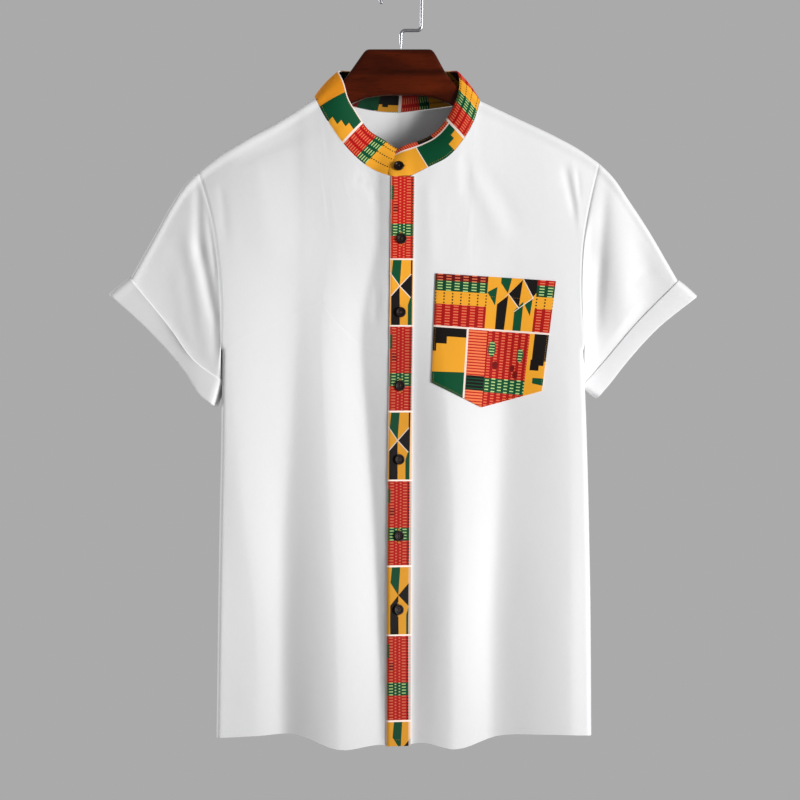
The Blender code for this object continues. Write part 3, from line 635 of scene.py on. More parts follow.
# ---------------------------------------------------------------- the sleeves
# Each short sleeve is one piece of the same cloth sewn into a tube and set into the armhole. It falls
# slanting off the shoulder, with one deep soft fold beside the armhole seam, front and back.
CUFF_DEPTH = 29.0
CUFF_POWER = {-1: 60, 1: 5}
CUFF_FLARE = -1.0
UNDER_LIFT = {"right": 14.0, "left": -7.0}
UNDER_LIFT_FROM = 0.08
UNDER_LIFT_OVER = 0.86
SEAM_ROLL = {"right": 0.0, "left": 0.9}
SEAM_ROLL_WIDTH = 3.6
SEAM_ROLL_POWER = 0.6
SEAM_DIPS_PAST = 3.0
SEAM_SET_OUT = 0.25
SEAM_SET_OVER = 6.0
HELD_FROM_SEAM = 9.0
HELD_FROM_CUFF = 14.0
HELD_POWER = 0.8
SLEEVE_ROWS = np.concatenate([0.5 * np.linspace(0, 1, 34) ** 1.5,
                              0.5 + 0.5 * np.linspace(0, 1, 26)[1:]])
UNDER_CUFF_ROWS = np.array([0.3, 0.6, 0.88])
SLEEVE_CREASES = {
    # from x, from z, to x, to z, width at the start, at the end, depth (below 0 it is a ridge)
    ("right", -1): [
        (-227, -236, -224.5, -326, 5, 7, 2.7),
        (-225, -302, -206, -392, 6.5, 6, 2.3),
        (-214, -258, -202, -352, 4.5, 5, 1.3),
        (-208, -374, -203, -440, 5, 5, 1.4),
        (-238, -286, -213, -436, 8, 8.5, -1.3),
        (-250, -330, -232, -424, 9, 11, -0.7),
        (-262, -290, -240, -330, 10, 12, 0.5),
    ],
    ("left", -1): [
        (229, -236, 214, -420, 6, 8, 2.1),
        (244, -232, 247, -420, 18, 22, -6.2),
        (223, -316, 215, -424, 6, 8, 0.8),
        (210, -290, 207, -430, 12, 14, 3.2),
        (263, -300, 285, -352, 7, 9, 0.8),
        (282, -310, 296, -336, 5, 6, -0.6),
        (254, -350, 284, -326, 4, 6, 0.6),
    ],
    ("right", 1): [
        (-220, -238, -206, -430, 3, 6.5, 6.0),
        (-231, -240, -214, -436, 5, 7, -2.2),
        (-262, -290, -228, -420, 9, 11, 2.2),
        (-280, -330, -250, -400, 8, 9, -1.3),
    ],
    ("left", 1): [
        (219, -232, 210, -428, 3, 6.5, 6.0),
        (229, -240, 224, -430, 5, 8, -2.4),
        (250, -280, 242, -418, 9, 11, 2.4),
        (274, -310, 262, -396, 8, 9, -1.4),
    ],
}


def sleeve_half(name, side, face, rows, cuff_rows):
    """One face of a sleeve, from over the arm to under it: a net between the armhole, the cuff's
    upper line and the two silhouettes, its depth passing from the body's at the seam to the cuff's
    own rounded section, then straight on under the cuff to its outer edge."""
    a = ARMHOLE_ROWS
    armhole = curve(side["armhole"], a)
    cuff_top = curve(side["cuff_top"], a)
    length = np.linalg.norm(cuff_top - armhole, axis=-1)
    over_arm, under_arm = curve(side["over_arm"], rows), curve(side["under_arm"], rows)
    net = patch(armhole, cuff_top, over_arm, under_arm, a, rows)
    body_point = front_point if face < 0 else back_point
    at_seam = np.abs(body_point(armhole[:, 0], armhole[:, 1])[:, 1])
    at_seam[0] = 0.0
    at_cuff = np.sqrt(1 - np.abs(2 * a - 1) ** CUFF_POWER[face])
    lifted = np.clip((a - UNDER_LIFT_FROM) / UNDER_LIFT_OVER, 0, 1)
    at_cuff = at_cuff * (CUFF_DEPTH + (UNDER_LIFT[name] * lifted if face < 0 else 0))
    share = rows[:, None]
    from_seam = share * length
    outwards = (cuff_top - armhole) / length[:, None]
    net = net + SEAM_SET_OUT * (1 - ease(from_seam / SEAM_SET_OVER))[..., None] * outwards
    held = ease(from_seam / HELD_FROM_SEAM) * ease((1 - share) * length / HELD_FROM_CUFF)
    held = held * np.sin(np.pi * a) ** HELD_POWER
    creases = crease_depth(net[..., 0], net[..., 1], SLEEVE_CREASES[name, face])
    depth = at_seam * (1 - share) + at_cuff * share - creases * held
    dip = SEAM_DIP * np.exp(-(from_seam / SEAM_DIP_WIDTH) ** 2)
    depth = depth - dip * (at_seam > SEAM_DIPS_PAST)
    roll = from_seam / SEAM_ROLL_WIDTH * np.exp(1 - from_seam / SEAM_ROLL_WIDTH)
    depth = depth + SEAM_ROLL[name] * roll * np.sin(np.pi * a) ** SEAM_ROLL_POWER
    share = cuff_rows[:, None]
    under_cuff = cuff_top + share[..., None] * (curve(side["cuff_edge"], a) - cuff_top)
    xz = np.concatenate([net, under_cuff])
    depth = np.concatenate([depth, at_cuff * (1 + CUFF_FLARE / CUFF_DEPTH * share)])
    return np.stack([xz[..., 0], face * depth, xz[..., 1]], axis=-1)


def tube(name, side, rows, cuff_rows):
    """The whole sleeve as a tube: down its front and up its back, its rows running outwards."""
    front = sleeve_half(name, side, -1, rows, cuff_rows)
    back = sleeve_half(name, side, 1, rows, cuff_rows)
    net = np.concatenate([front, back[:, -2:0:-1]], axis=1)
    return net if name == "right" else net[:, ::-1]


SIDES = {"right": RIGHT_SIDE, "left": LEFT_SIDE}
for name, side in SIDES.items():
    sleeve_net = tube(name, side, SLEEVE_ROWS, UNDER_CUFF_ROWS)
    sleeve = white_piece("shirt_sleeve_" + name, sleeve_net, closed=True)
    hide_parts("sleeve_" + name)
    "shirt_front_" + name

# ---------------------------------------------------------------- the turned-up cuffs
# The sleeve's end is folded up outside itself as a band about 30 mm deep, tacked at the seams. Its
# lower edge is a soft rolled fold, and its upper edge stands a little off the sleeve between tacks.
CUFF_OUT = 1.2
CUFF_IN = 2.0
CUFF_STAND = {"right": 2.8, "left": 0.15}
CUFF_STAND_POWER = 0.7
CUFF_STAND_FADE = 3.6
CUFF_WAVE = 0.35
CUFF_WAVES = 11.0
CUFF_WAVE_FROM = 1.3
CUFF_EDGE_LIFT = 0.3
CUFF_EDGE_SHARE = 0.035
CUFF_BULGE = 0.45
CUFF_INSIDE_SHARE = 0.35


def cuff_net(name, side):
    """The band from its upper edge down the outside, round the fold in a half circle and up inside
    the sleeve: each row is the sleeve's own straight run at one share, moved along the normal."""
    base = tube(name, side, np.array([1.0]), np.array([0.0, 1.0]))[1:]
    normal = net_normals(base, closed=True)
    length = np.linalg.norm(base[1] - base[0], axis=-1)
    radius = (CUFF_OUT + CUFF_IN) / 2
    end = length - radius
    a = np.concatenate([ARMHOLE_ROWS, ARMHOLE_ROWS[-2:0:-1]])
    a = a if name == "right" else a[::-1]
    wave = 1 + CUFF_WAVE * np.sin(CUFF_WAVES * a + CUFF_WAVE_FROM)
    stand = CUFF_STAND[name] * np.sin(np.pi * a) ** CUFF_STAND_POWER * wave
    down = np.linspace(0, 1, 20)[:, None] ** 1.5
    edge = CUFF_EDGE_LIFT + (1 - CUFF_EDGE_LIFT) * ease(down / CUFF_EDGE_SHARE)
    lift = CUFF_OUT * edge + stand * np.exp(-down * CUFF_STAND_FADE)
    turn = np.linspace(0, np.pi, 9)[1:, None]
    up = np.linspace(1, CUFF_INSIDE_SHARE, 5)[1:, None]
    along = np.concatenate([down * end, end + radius * np.sin(turn), up * end]) / length
    out = np.concatenate([lift + CUFF_BULGE * np.sin(np.pi * down),
                          (CUFF_OUT - CUFF_IN) / 2 + radius * np.cos(turn) + 0 * end,
                          -CUFF_IN + 0 * up * end])
    share, out = along[..., None], out[..., None]
    return base[0] + share * (base[1] - base[0]) + out * (normal[0] + share * (normal[1] - normal[0]))


for name, side in SIDES.items():
    cuff = white_piece("shirt_cuff_" + name, cuff_net(name, side), closed=True)
    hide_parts("cuff_" + name)
    "shirt_sleeve_" + name

# ---------------------------------------------------------------- the printed placket
# The button stand and the placket over it are strips of a printed cotton in a woven strip-cloth
# pattern: blocks of red with pale dashes and a green band, then gold, green and black points.
COLOURS = {
    "gold": linear(252, 174, 46),
    "deep gold": linear(244, 154, 30),
    "green": linear(2, 80, 48),
    "red": linear(200, 20, 14),
    "dark red": linear(122, 10, 9),
    "black": linear(18, 12, 11),
    "pale": linear(255, 236, 224),
    "orange": linear(252, 132, 82),
}
DASH_COLOURS = {
    "red": linear(238, 122, 84),
    "dark red": linear(238, 122, 84),
    "green": linear(190, 222, 142),
}
PRINT_THICK = 0.9
PLACKET_HALF = 13.0
PLACKET_OUT = 1.45
PLACKET_RIPPLE = 0.18
RIPPLE_LONG = 6.5
RIPPLE_BEAT = 23.0
STAND_EDGES = (-13.8, 8.0)
STAND_OUT = 0.05
STRIP_TOP_Z = -228.5
STRIP_ROWS = 210
STRIP_BOW = 0.9

# Dashes of one thread on a ground: columns at a pitch, each dash a share of the column and of the
# row, with every other column half a row lower.
dashes, (across, down, column, row, width, depth, ground, dash), dashes_out = new_group(
    "woven_dashes",
    [("Across", "Float", 0.0), ("Down", "Float", 0.0), ("Column", "Float", 9.0),
     ("Row", "Float", 3.2), ("Width", "Float", 0.6), ("Depth", "Float", 0.38),
     ("Ground", "Color", COLOURS["red"]), ("Dash", "Color", COLOURS["pale"])],
    [("Color", "Color"), ("Mask", "Float")],
)
column_at = across.math("DIVIDE", column)
row_at = down.math("DIVIDE", row) + (column_at.math("FLOOR") * 0.5).share()
dash_mask = (column_at.share() < width) * (row_at.share() < depth)
feed(dashes, dashes_out, Color=laid_over(dashes, ground, dash, dash_mask), Mask=dash_mask)


def painted(tree, under, mask, over):
    """One colour laid over another where the mask is 1. The print's own go by their names."""
    under, over = (COLOURS[colour] if isinstance(colour, str) else colour
                   for colour in (under, over))
    return laid_over(tree, under, over, mask)


def shape_mask(across, down, corners):
    """1 inside a convex shape with the given corners, taken clockwise as seen: each side keeps the
    points on its inner side, and the mask is the least of them."""
    mask = None
    for (u0, v0), (u1, v1) in zip(corners, corners[1:] + corners[:1]):
        side = across * float(v0 - v1) + down * float(u1 - u0)
        kept = side > float(u0 * (v0 - v1) + v0 * (u1 - u0))
        mask = kept if mask is None else mask.least(kept)
    return mask


def charted(tree, across, down, colour, shapes):
    """The colour with each named shape of the chart painted over it in turn. A shape of two corners
    is an upright rectangle."""
    for name, corners in shapes:
        if len(corners) == 2:
            (u0, v0), (u1, v1) = corners
            mask = across.between(u0, u1) * down.between(v0, v1)
        else:
            mask = shape_mask(across, down, corners)
        colour = painted(tree, colour, mask, name)
    return colour


def dashed(tree, across, down, ground, column, row, width, depth=0.38, start=0.0, thread=None):
    """A ground with the woven dashes on it, its first column at a start."""
    made = place_group(tree, dashes, Across=across - start, Down=down, Column=column, Row=row,
                       Width=width, Depth=depth, Ground=COLOURS[ground],
                       Dash=thread or DASH_COLOURS[ground])
    return made.outputs["Color"]


PLACKET_REPEAT = 171.1
RED_BLOCK = 95.2
PLACKET_START_Z = -393.7
PLACKET_EASED = 5.5
PLACKET_EASED_Z = -355.0
PLACKET_EASED_OVER = 78.0
FIRST_LINE = -165.0
LATE_PRINT = 200.0
LAST_PRINT = 420.0
PRINT_SHIFT = 2.6
THREAD_ROW = 3.3
POINTS_BLOCK = [
    # colour, corners: mm across from the placket's left edge, mm down from the block's white line
    ("green", [(3.4, 0), (12.9, 0), (10.9, 32.7), (1.7, 18.8)]),
    ("black", [(23.2, 0), (25, 0), (25, 20), (23.2, 20)]),
    ("black", [(23.6, 18.4), (25, 18.4), (25, 46), (23.0, 45), (10.9, 32.7)]),
    ("gold", [(10.9, 32.7), (23.2, 46), (23.2, 76), (10.9, 76)]),
    ("green", [(23.0, 45), (25, 44), (25, 76), (20.4, 76), (20.2, 54)]),
    ("black", [(10.9, 32.7), (11.5, 76), (1.8, 76), (1.6, 44)]),
    ("pale", [(0.2, 16.6), (11.2, 32.2), (10.6, 32.8), (-0.4, 17.2)]),
    ("pale", [(10.6, 32.2), (11.2, 33.0), (1.4, 44.4), (0.8, 43.6)]),
    ("pale", [(23.6, 18.2), (24.0, 18.9), (11.2, 33.2), (10.6, 32.4)]),
    ("pale", [(11.2, 32.2), (23.6, 45.2), (23.0, 46.0), (10.6, 33.0)]),
]


def placket_print(tree, across, down):
    """The strip-cloth print down the placket: red dashed blocks with a green band, and blocks of
    points, repeated one below the other with white lines between, and painted shade darkening the
    blocks below about z = -354 mm."""
    repeat = down.math("FLOORED_MODULO", PLACKET_REPEAT)
    block = repeat - RED_BLOCK
    middle = across.between(8.4, 16.6)
    grounds = {}
    for ground in ("red", "green"):
        wide = dashed(tree, across, repeat, ground, 14.8, THREAD_ROW, 0.31, start=2.9)
        fine = dashed(tree, across, repeat + 1.6, ground, 4.6, THREAD_ROW, 0.4, depth=0.42, start=9.5)
        grounds[ground] = painted(tree, wide, middle, fine)
    red = painted(tree, grounds["red"], (across > 23.4) * (repeat.steps(THREAD_ROW) < 0.5), "black")
    spot = across.between(3.2, 8.2) * repeat.between(31.5, 40.5)
    red = painted(tree, red, spot * (repeat.steps(THREAD_ROW) > 0.3), "dark red")
    red = painted(tree, red, (across < 3.4) * repeat.between(10.5, 26), "green")
    dashed_block = painted(tree, red, repeat.between(53.2, 67.6), grounds["green"])
    moved = across - (down > LATE_PRINT) * PRINT_SHIFT - (down > LAST_PRINT) * PRINT_SHIFT
    plain = charted(tree, moved, block, COLOURS["gold"], POINTS_BLOCK[:6])
    crossed = charted(tree, moved, block, plain, POINTS_BLOCK[6:])
    points = painted(tree, crossed, down > LATE_PRINT, plain)
    whole = painted(tree, points, repeat < RED_BLOCK, dashed_block)
    # Painted shade: below about z = -354 mm the print darkens over 60 mm to 70 % of its colour and
    # stays so to the hem; the white lines and edges are laid on after it.
    painted_hem_shade = ((down + 40.0) * (1 / 60)).most(0.0).least(1.0)
    whole = shaded(tree, whole, painted_hem_shade * -0.3 + 1.0)
    lines = (repeat < 1.7).most(repeat.between(RED_BLOCK - 0.4, RED_BLOCK + 1.6))
    selvage = (across < 0.7).most(across > 25.3) * 0.5
    return painted(tree, whole, (lines * (down > FIRST_LINE)).most(selvage), "pale")


placket_cloth = cloth_material("printed_placket", chart=placket_print, rumple=0.22, rough=0.62,
                               sheen=0.05)


def centre_strip(left, right, out, columns):
    """A strip down the centre front, from one distance of the centre line to another, lying on the
    fronts' own surface and moved out from it."""
    z = np.linspace(STRIP_TOP_Z, HEM_MIDDLE_Z, STRIP_ROWS)[:, None]
    share = np.linspace(0, 1, columns)[None, :]
    bowed = STRIP_BOW * np.sin(np.pi * (STRIP_TOP_Z - z) / (STRIP_TOP_Z - HEM_MIDDLE_Z))
    x = centre_line(z) - bowed + left + (right - left) * share
    net = front_point(x, z + 0 * share)
    return net + out * net_normals(net)


def print_piece(name, net, cloth, uv, node, wall=PRINT_THICK, **cut):
    """A piece of the printed cotton with its chart's distances. Its cut is not used."""
    made = net_piece(name, net, cloth, wall=wall, uv=uv)
    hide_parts(node)
    return made


def strip_piece(name, net, node):
    """A printed strip with its chart's distances: across from its left edge, and down from where a
    red block starts."""
    eased = PLACKET_EASED * ease((net[..., 2] - PLACKET_EASED_Z) / PLACKET_EASED_OVER)
    uv = np.stack([run_length(net, 1), PLACKET_START_Z - net[..., 2] - eased], axis=-1)
    print_piece(name, net, placket_cloth, uv, node, flat=(0.025, 0.64), held="hung",
                rests_on=["shirt_front_left"])


strip_piece("shirt_button_stand", centre_strip(*STAND_EDGES, STAND_OUT, 9), "button_stand")
placket_net = centre_strip(-PLACKET_HALF, PLACKET_HALF, PLACKET_OUT, 25)
height = placket_net[..., 2:]
ripple = PLACKET_RIPPLE * np.sin(height / RIPPLE_LONG) * np.sin(height / RIPPLE_BEAT + 1)
placket_net = seam_edges(placket_net + ripple * net_normals(placket_net), ["first", "last"])
strip_piece("shirt_placket", placket_net, "placket")

# ---------------------------------------------------------------- the band collar
# The stand-up band is two layers of the print sewn round the neck and meeting at the front, where
# its outer end laps over the other with a rounded corner and one button.
COLLAR_RIGHT = [
    # seam x, seam z, top x, top y, top z
    (-1, -229, -1, -17, -196.3),
    (-29, -221.5, -19, -15.5, -186),
    (-58.4, -198, -36.8, -14.5, -174.3),
    (-76.9, -173.4, -51, -15, -153.5),
    (-86.5, -158, -59.6, -14.5, -138.5),
    (-94, -145, -64.5, -10, -119),
    (-96.3, -138.4, -70.6, 0, -108.2),
    (-80, -141.4, -62, 13, -107),
    (-52, -147, -44, 18.5, -107.5),
    (-2, -153, -2, 21, -112),
]
COLLAR_LEFT = [
    # seam x, seam z, top x, top y, top z
    (-1, -229, -1, -17, -196.3),
    (22, -221.8, 17, -15.8, -188.5),
    (51.1, -207, 36, -15, -179),
    (70.8, -184.6, 50.8, -15, -162.5),
    (81.1, -165.9, 62, -14.5, -140),
    (87, -150, 66, -10, -122.5),
    (88.5, -141.8, 63.8, 0, -108.2),
    (78, -142.4, 56, 13, -107),
    (54, -146, 40, 18.5, -107.5),
    (-2, -153, -2, 21, -112),
]
COLLAR_OUTER_END = (-14.4, -230.4, -14.8, -17.0, -206.8)
COLLAR_TUCKED_END = 10.0
COLLAR_LAP = 2.4
LAP_LONG = 18.0
LAP_FADE = 30.0
COLLAR_BOW = 1.6
COLLAR_LIFT = 0.5
COLLAR_THICK = 1.6
COLLAR_COLUMNS = 300
COLLAR_ROWS = 17
CORNER_ROUND = 7.0
COLLAR_PUCKER = 0.22
PUCKER_LONG = 3.1
PUCKER_DRIFT = 1.7
PUCKER_DRIFT_LONG = 17.0
PUCKER_FADE = 5.0
TOP_DIP = 0.5
SEAM_LINE_DIP = 0.4
COLLAR_DIP_WIDTH = 1.2
BAND_DEEP = 32.0
LEFT_LINE, RIGHT_LINE = 58, 254
LEFT_SHOULDER, RIGHT_SHOULDER = 92, 207


def neck_edge():
    """The line where the band is sewn on, evenly stepped: across the outer front end, along the
    neck edges of the left front, the back and the right front, to the end that is tucked under."""
    left = left_net[0, :NECK_COLUMNS + 1]
    right = right_net[0, ::-1][:NECK_COLUMNS + 1]
    middle = SHOULDER_COLUMNS + NECK_COLUMNS
    back = back_flat[0, middle - NECK_COLUMNS:middle + NECK_COLUMNS + 1][::-1]
    lap_x = np.linspace(COLLAR_OUTER_END[0], left[0, 0], 5)[:-1]
    tuck_x = np.linspace(right[0, 0], COLLAR_TUCKED_END, 5)[1:]
    lap_z = np.interp(lap_x, (COLLAR_OUTER_END[0], left[0, 0]), (COLLAR_OUTER_END[1], left[0, 2]))
    lap, tuck = front_point(lap_x, lap_z), front_point(tuck_x, np.full_like(tuck_x, left[0, 2]))
    points = np.concatenate([lap, left[:-1:3], back[::3], right[-2::-3], tuck])
    return curve(points, np.linspace(0, 1, COLLAR_COLUMNS))


def smoothed(values, passes):
    """The values averaged with their neighbours a number of times, the ends held."""
    for _ in range(passes):
        inner = (values[:-2] + 2 * values[1:-1] + values[2:]) / 4
        values = np.concatenate([values[:1], inner, values[-1:]])
    return values


def collar_top(seam):
    """The band's top edge opposite each seam point, read from the two tables by the nearest point
    of each table's own seam line."""
    right, left = np.array(COLLAR_RIGHT, float), np.array(COLLAR_LEFT, float)
    first, second = left[:2]
    tuck = first + (second - first) * (COLLAR_TUCKED_END - first[0]) / (second[0] - first[0])
    halves = np.concatenate([[COLLAR_OUTER_END], left]), np.concatenate([right[::-1], [tuck]])
    to_back = int(np.argmax(seam[:, 1] * (np.abs(seam[:, 0] - BACK_MIDDLE_X) < 3)))
    tops = []
    for rows, points in zip(halves, (seam[:to_back], seam[to_back:])):
        fine = curve(rows, np.linspace(0, 1, 3000))
        apart = np.hypot(points[:, None, 0] - fine[:, 0], points[:, None, 2] - fine[:, 1])
        tops.append(fine[np.argmin(apart, axis=1), 2:])
    return smoothed(np.concatenate(tops), 12)


def collar_net():
    """The band as one strip from its top edge to its seam, bowed outwards a little, its outer front
    end lifted to lie over the tucked one, with soft puckers along the seam."""
    low = neck_edge()
    high = collar_top(low)
    up = unit(high - low)
    along = distances(low)
    corner = np.clip(1 - along / CORNER_ROUND, 0, 1)
    low = low + (COLLAR_LIFT + CORNER_ROUND * (1 - np.sqrt(1 - corner**2)))[:, None] * up
    v = np.linspace(0, 1, COLLAR_ROWS)[:, None, None]
    flat = (low + v * (high - low))[::-1]
    lap = COLLAR_LAP * (1 - ease((along - LAP_LONG) / LAP_FADE))
    drift = PUCKER_DRIFT * np.sin(along / PUCKER_DRIFT_LONG)
    pucker = COLLAR_PUCKER * np.sin(along / PUCKER_LONG + drift)
    rise = v[::-1]
    out = COLLAR_BOW * np.sin(np.pi * rise) + lap[None, :, None]
    out = out + pucker[None, :, None] * np.exp(-rise * PUCKER_FADE)
    top_dip, seam_dip = (np.exp(-(from_edge * BAND_DEEP / COLLAR_DIP_WIDTH) ** 2)
                         for from_edge in (1 - rise, rise))
    out = out - TOP_DIP * top_dip - SEAM_LINE_DIP * seam_dip
    return flat + out * net_normals(flat), along


band_net, band_along = collar_net()


def band_chart():
    """The band's chart distances: along each row from the column of the white line on either
    shoulder's front, shared out over the back, and down from the top edge."""
    along = run_length(band_net, 1)
    column = np.arange(COLLAR_COLUMNS)
    right_share = ease((column - LEFT_SHOULDER) / (RIGHT_SHOULDER - LEFT_SHOULDER))
    from_left, from_right = (along - along[:, line:line + 1] + band_along[line]
                             for line in (LEFT_LINE, RIGHT_LINE))
    down = np.linspace(0, BAND_DEEP, COLLAR_ROWS)[:, None] + 0 * along
    return np.stack([from_left * (1 - right_share) + from_right * right_share, down], axis=-1)


BAND_COLUMN = 9.0
BAND_ROW = 2.9
COLLAR_WOVEN = [
    # where the first column starts down the band; where the red, the green and the gold start along
    # it, and where the gold ends
    (3.6, (102.4, 123.2, 137.0, 152.0)),
    (3.6, (152.0, 177.0, 177.0, 187.0)),
    (3.6, (234.0, 262.0, 276.0, 290.0)),
    (-1.6, (444.4, 465.6, 478.2, 523.0)),
]
COLLAR_LINES = [(99.5, 102.4), (187.0, 189.4), (232.0, 234.2), (290.0, 292.2), (441.8, 444.5)]
COLLAR_OUTSIDE = [
    # colour, corners: mm along the band from its outer front end, mm down from its top edge
    ("green", [(53.5, 6), (101, 6), (101, 33), (47.0, 33)]),
    ("gold", [(92, 17.5), (101, 33)]),
    ("gold", [(83, 22.5), (101, 33)]),
    ("pale", [(52.6, 6), (53.7, 6), (47.4, 33), (46.4, 33)]),
    ("black", [(188, -1), (214, 9)]),
    ("green", [(214, -1), (232, 33)]),
    ("black", [(196, 8), (206, 18)]),
    ("green", [(292, -1), (330, 20)]),
    ("black", [(292, 19), (312, 33)]),
    ("deep gold", [(330, -1), (404.5, -1), (392.5, 33), (330, 33)]),
    ("green", [(404.5, -1), (442, -1), (442, 33), (392.5, 33)]),
    ("gold", [(413.5, 25.5), (442, 33)]),
    ("gold", [(424, 19.3), (442, 33)]),
    ("gold", [(432.8, 13.8), (442, 33)]),
    ("pale", [(364, -1), (442, 1.1)]),
]
COLLAR_INSIDE = [
    # colour, corners, as on the outside. The dark red and black over the band's two inner sides, below
    # 180 mm and past 312 mm along it, are partly the print and partly painted shade.
    ("dark red", [(-5, -1), (180, 33)]),
    ("black", [(160, -1), (178, 33)]),
    ("green", [(288, -1), (312, 33)]),
    ("black", [(263, -1), (289, 26)]),
    ("black", [(277, 25.5), (284, 28)]),
    ("dark red", [(312, -1), (345, 33)]),
    ("black", [(345, -1), (372, 33)]),
    ("green", [(372, -1), (420, 33)]),
    ("dark red", [(420, -1), (525, 33)]),
]


def woven_band(tree, across, down, start, colour, limits):
    """The dashed part of the print run along the band: red, then green, then gold with lines of
    black dots, each from one limit to the next, over a colour."""
    red, green = (dashed(tree, down, across, ground, BAND_COLUMN, BAND_ROW, 0.62, start=start)
                  for ground in ("red", "green"))
    dots = (down - start).steps(BAND_COLUMN).between(0.74, 0.88) * (across.steps(BAND_ROW) < 0.5)
    parts = (painted(tree, red, dots, "dark red"), green, painted(tree, "gold", dots, "black"))
    for first, last, part in zip(limits, limits[1:], parts):
        colour = painted(tree, colour, across.between(first, last), part)
    return colour


def band_print(tree, across, down):
    """The print along the band's outer face, from the lapped end round the neck to the other end."""
    colour = charted(tree, across, down, COLOURS["gold"], COLLAR_OUTSIDE)
    stripe = dashed(tree, down, across, "red", 30.0, 2.7, 0.16, depth=0.42, start=0.4)
    stripe = painted(tree, stripe, across.between(57.5, 75.5), "black")
    colour = painted(tree, colour, (across < 100) * (down < 5.4), stripe)
    colour = painted(tree, colour, (across < 100) * down.between(5.2, 6.9), "pale")
    for start, limits in COLLAR_WOVEN:
        colour = woven_band(tree, across, down, start, colour, limits)
    edge_dots = (down < 1.2) * (across > COLLAR_LINES[-1][1]) * (across.steps(BAND_ROW) < 0.45)
    colour = painted(tree, colour, edge_dots, "black")
    for first, last in COLLAR_LINES:
        colour = painted(tree, colour, across.between(first, last), "pale")
    return colour


def band_lining(tree, across, down):
    """The print along the band's inner face, which shows at the back of the neck, with painted
    shade: its colours multiplied by 0.26 at the top edge, rising to about 0.52 at the seam.
    """
    colour = charted(tree, across, down, COLOURS["gold"], COLLAR_INSIDE)
    colour = woven_band(tree, across * -1.0, down, 2.0, colour, (-261.0, -239.6, -227.3, -180.0))
    colour = painted(tree, colour, across.between(260.8, 264.4), "pale")
    # painted shade, standing for the collar's shade over the lining
    return shaded(tree, colour, down * 0.008 + 0.26)


band_cloth = cloth_material("printed_band", chart=band_print, rumple=0.3, rough=0.6, sheen=0.05)
lining_cloth = cloth_material("printed_band_inside_painted_shade", chart=band_lining, rumple=0.2, rough=0.65,
                              sheen=0.04)
collar = print_piece("shirt_collar_band", band_net, band_cloth, band_chart(), "collar_band",
                     wall=COLLAR_THICK, flat=(0.47, 0.038), held="stretched", rests_on=["shirt_back"])
collar.data.materials.append(lining_cloth)
collar.modifiers["wall"].material_offset = 1

# ---------------------------------------------------------------- the chest pocket
# A patch pocket with a pointed lower edge, cut from a bolder part of the same print and top-stitched
# to the left front along its sides. Its upper edge is hemmed and stands a little open.
POCKET = {"top_in": (38.5, -336.4), "top_out": (171.8, -344.9), "low_in": (34.0, -457.2),
          "tip": (88.8, -484.9), "low_out": (156.0, -466.8)}
POCKET_COLUMNS = 81
POCKET_ROWS = 81
POCKET_WIDE = 128.0
POCKET_DEEP = 120.0
POCKET_OUT = CLOTH_THICK + 0.65
POCKET_STAND = 1.1
POCKET_STAND_FADE = 0.16
POCKET_FULL = 0.7
POCKET_WAVE = 0.35
POCKET_CHART = [
    # colour, corners: mm across from the inner edge, mm down from the upper edge
    ("black", [(-1, 58), (36.5, 58), (36.5, 68.5), (-1, 68.5)]),
    ("black", [(-1, 68), (15, 68), (15, 76.5), (-1, 76.5)]),
    ("black", [(-1, 76), (3.6, 76), (3.6, 85), (-1, 85)]),
    ("green", [(-1, 108), (36.5, 106.5), (36.5, 160), (-1, 160)]),
    ("green", [(70, -1), (81.5, -1), (78.5, 15.5), (78, 16.5), (70, 6)]),
    ("green", [(66.5, 10.5), (65.5, 31), (56.2, 17)]),
    ("black", [(93, 1.2), (91.5, 31.5), (79, 17.6)]),
    ("black", [(93, -1), (109, -1), (109, 14), (105, 20), (93.6, 1)]),
    ("black", [(79, 19), (77.5, 57), (67.5, 57), (67.5, 29.5)]),
    ("green", [(96, 24.5), (96, 57), (87, 57), (87, 35)]),
    ("green", [(105.5, 20.5), (104.5, 40), (97.5, 28)]),
    ("black", [(112.2, 58), (129, 58), (129, 88), (112.2, 88)]),
    ("black", [(111, 87), (126, 87), (126, 93), (111, 93)]),
    ("black", [(111, 92), (121, 92), (121, 98.5), (111, 98.5)]),
    ("green", [(112, 106.5), (128, 106.5), (128, 119), (115.5, 119), (115.5, 112.5), (112, 112)]),
    ("pale", [(79.2, 16.6), (93.6, 0.2), (94.2, 0.8), (66.6, 30.6), (66.2, 30)]),
    ("pale", [(93.2, 0.4), (94, 0.4), (106.4, 20), (105.6, 20.6)]),
    ("pale", [(78.6, 17.4), (79.4, 17.4), (92.2, 32.2), (91.4, 32.8)]),
    ("pale", [(105.6, 20), (106.4, 20.4), (87, 36.6), (86.6, 36)]),
]

POCKET_SPOTS = [
    # across, down, half width, half height, ground
    (66, 78.5, 4.2, 8.6, "green"),
    (98.5, 83.5, 3.6, 7.4, "green"),
    (71, 96, 3.4, 4.4, "dark red"),
    (91, 98, 2.8, 3.6, "dark red"),
    (95, 105, 3.0, 4.2, "dark red"),
]
POCKET_COLUMN = 9.1
POCKET_ROW = 3.1
POCKET_DASH = 0.6
POCKET_START = 2.4
MIDDLE_COLUMN = 7.4
MIDDLE_DASH = 0.55
MIDDLE_START = 61.0
SHADOW = 0.28


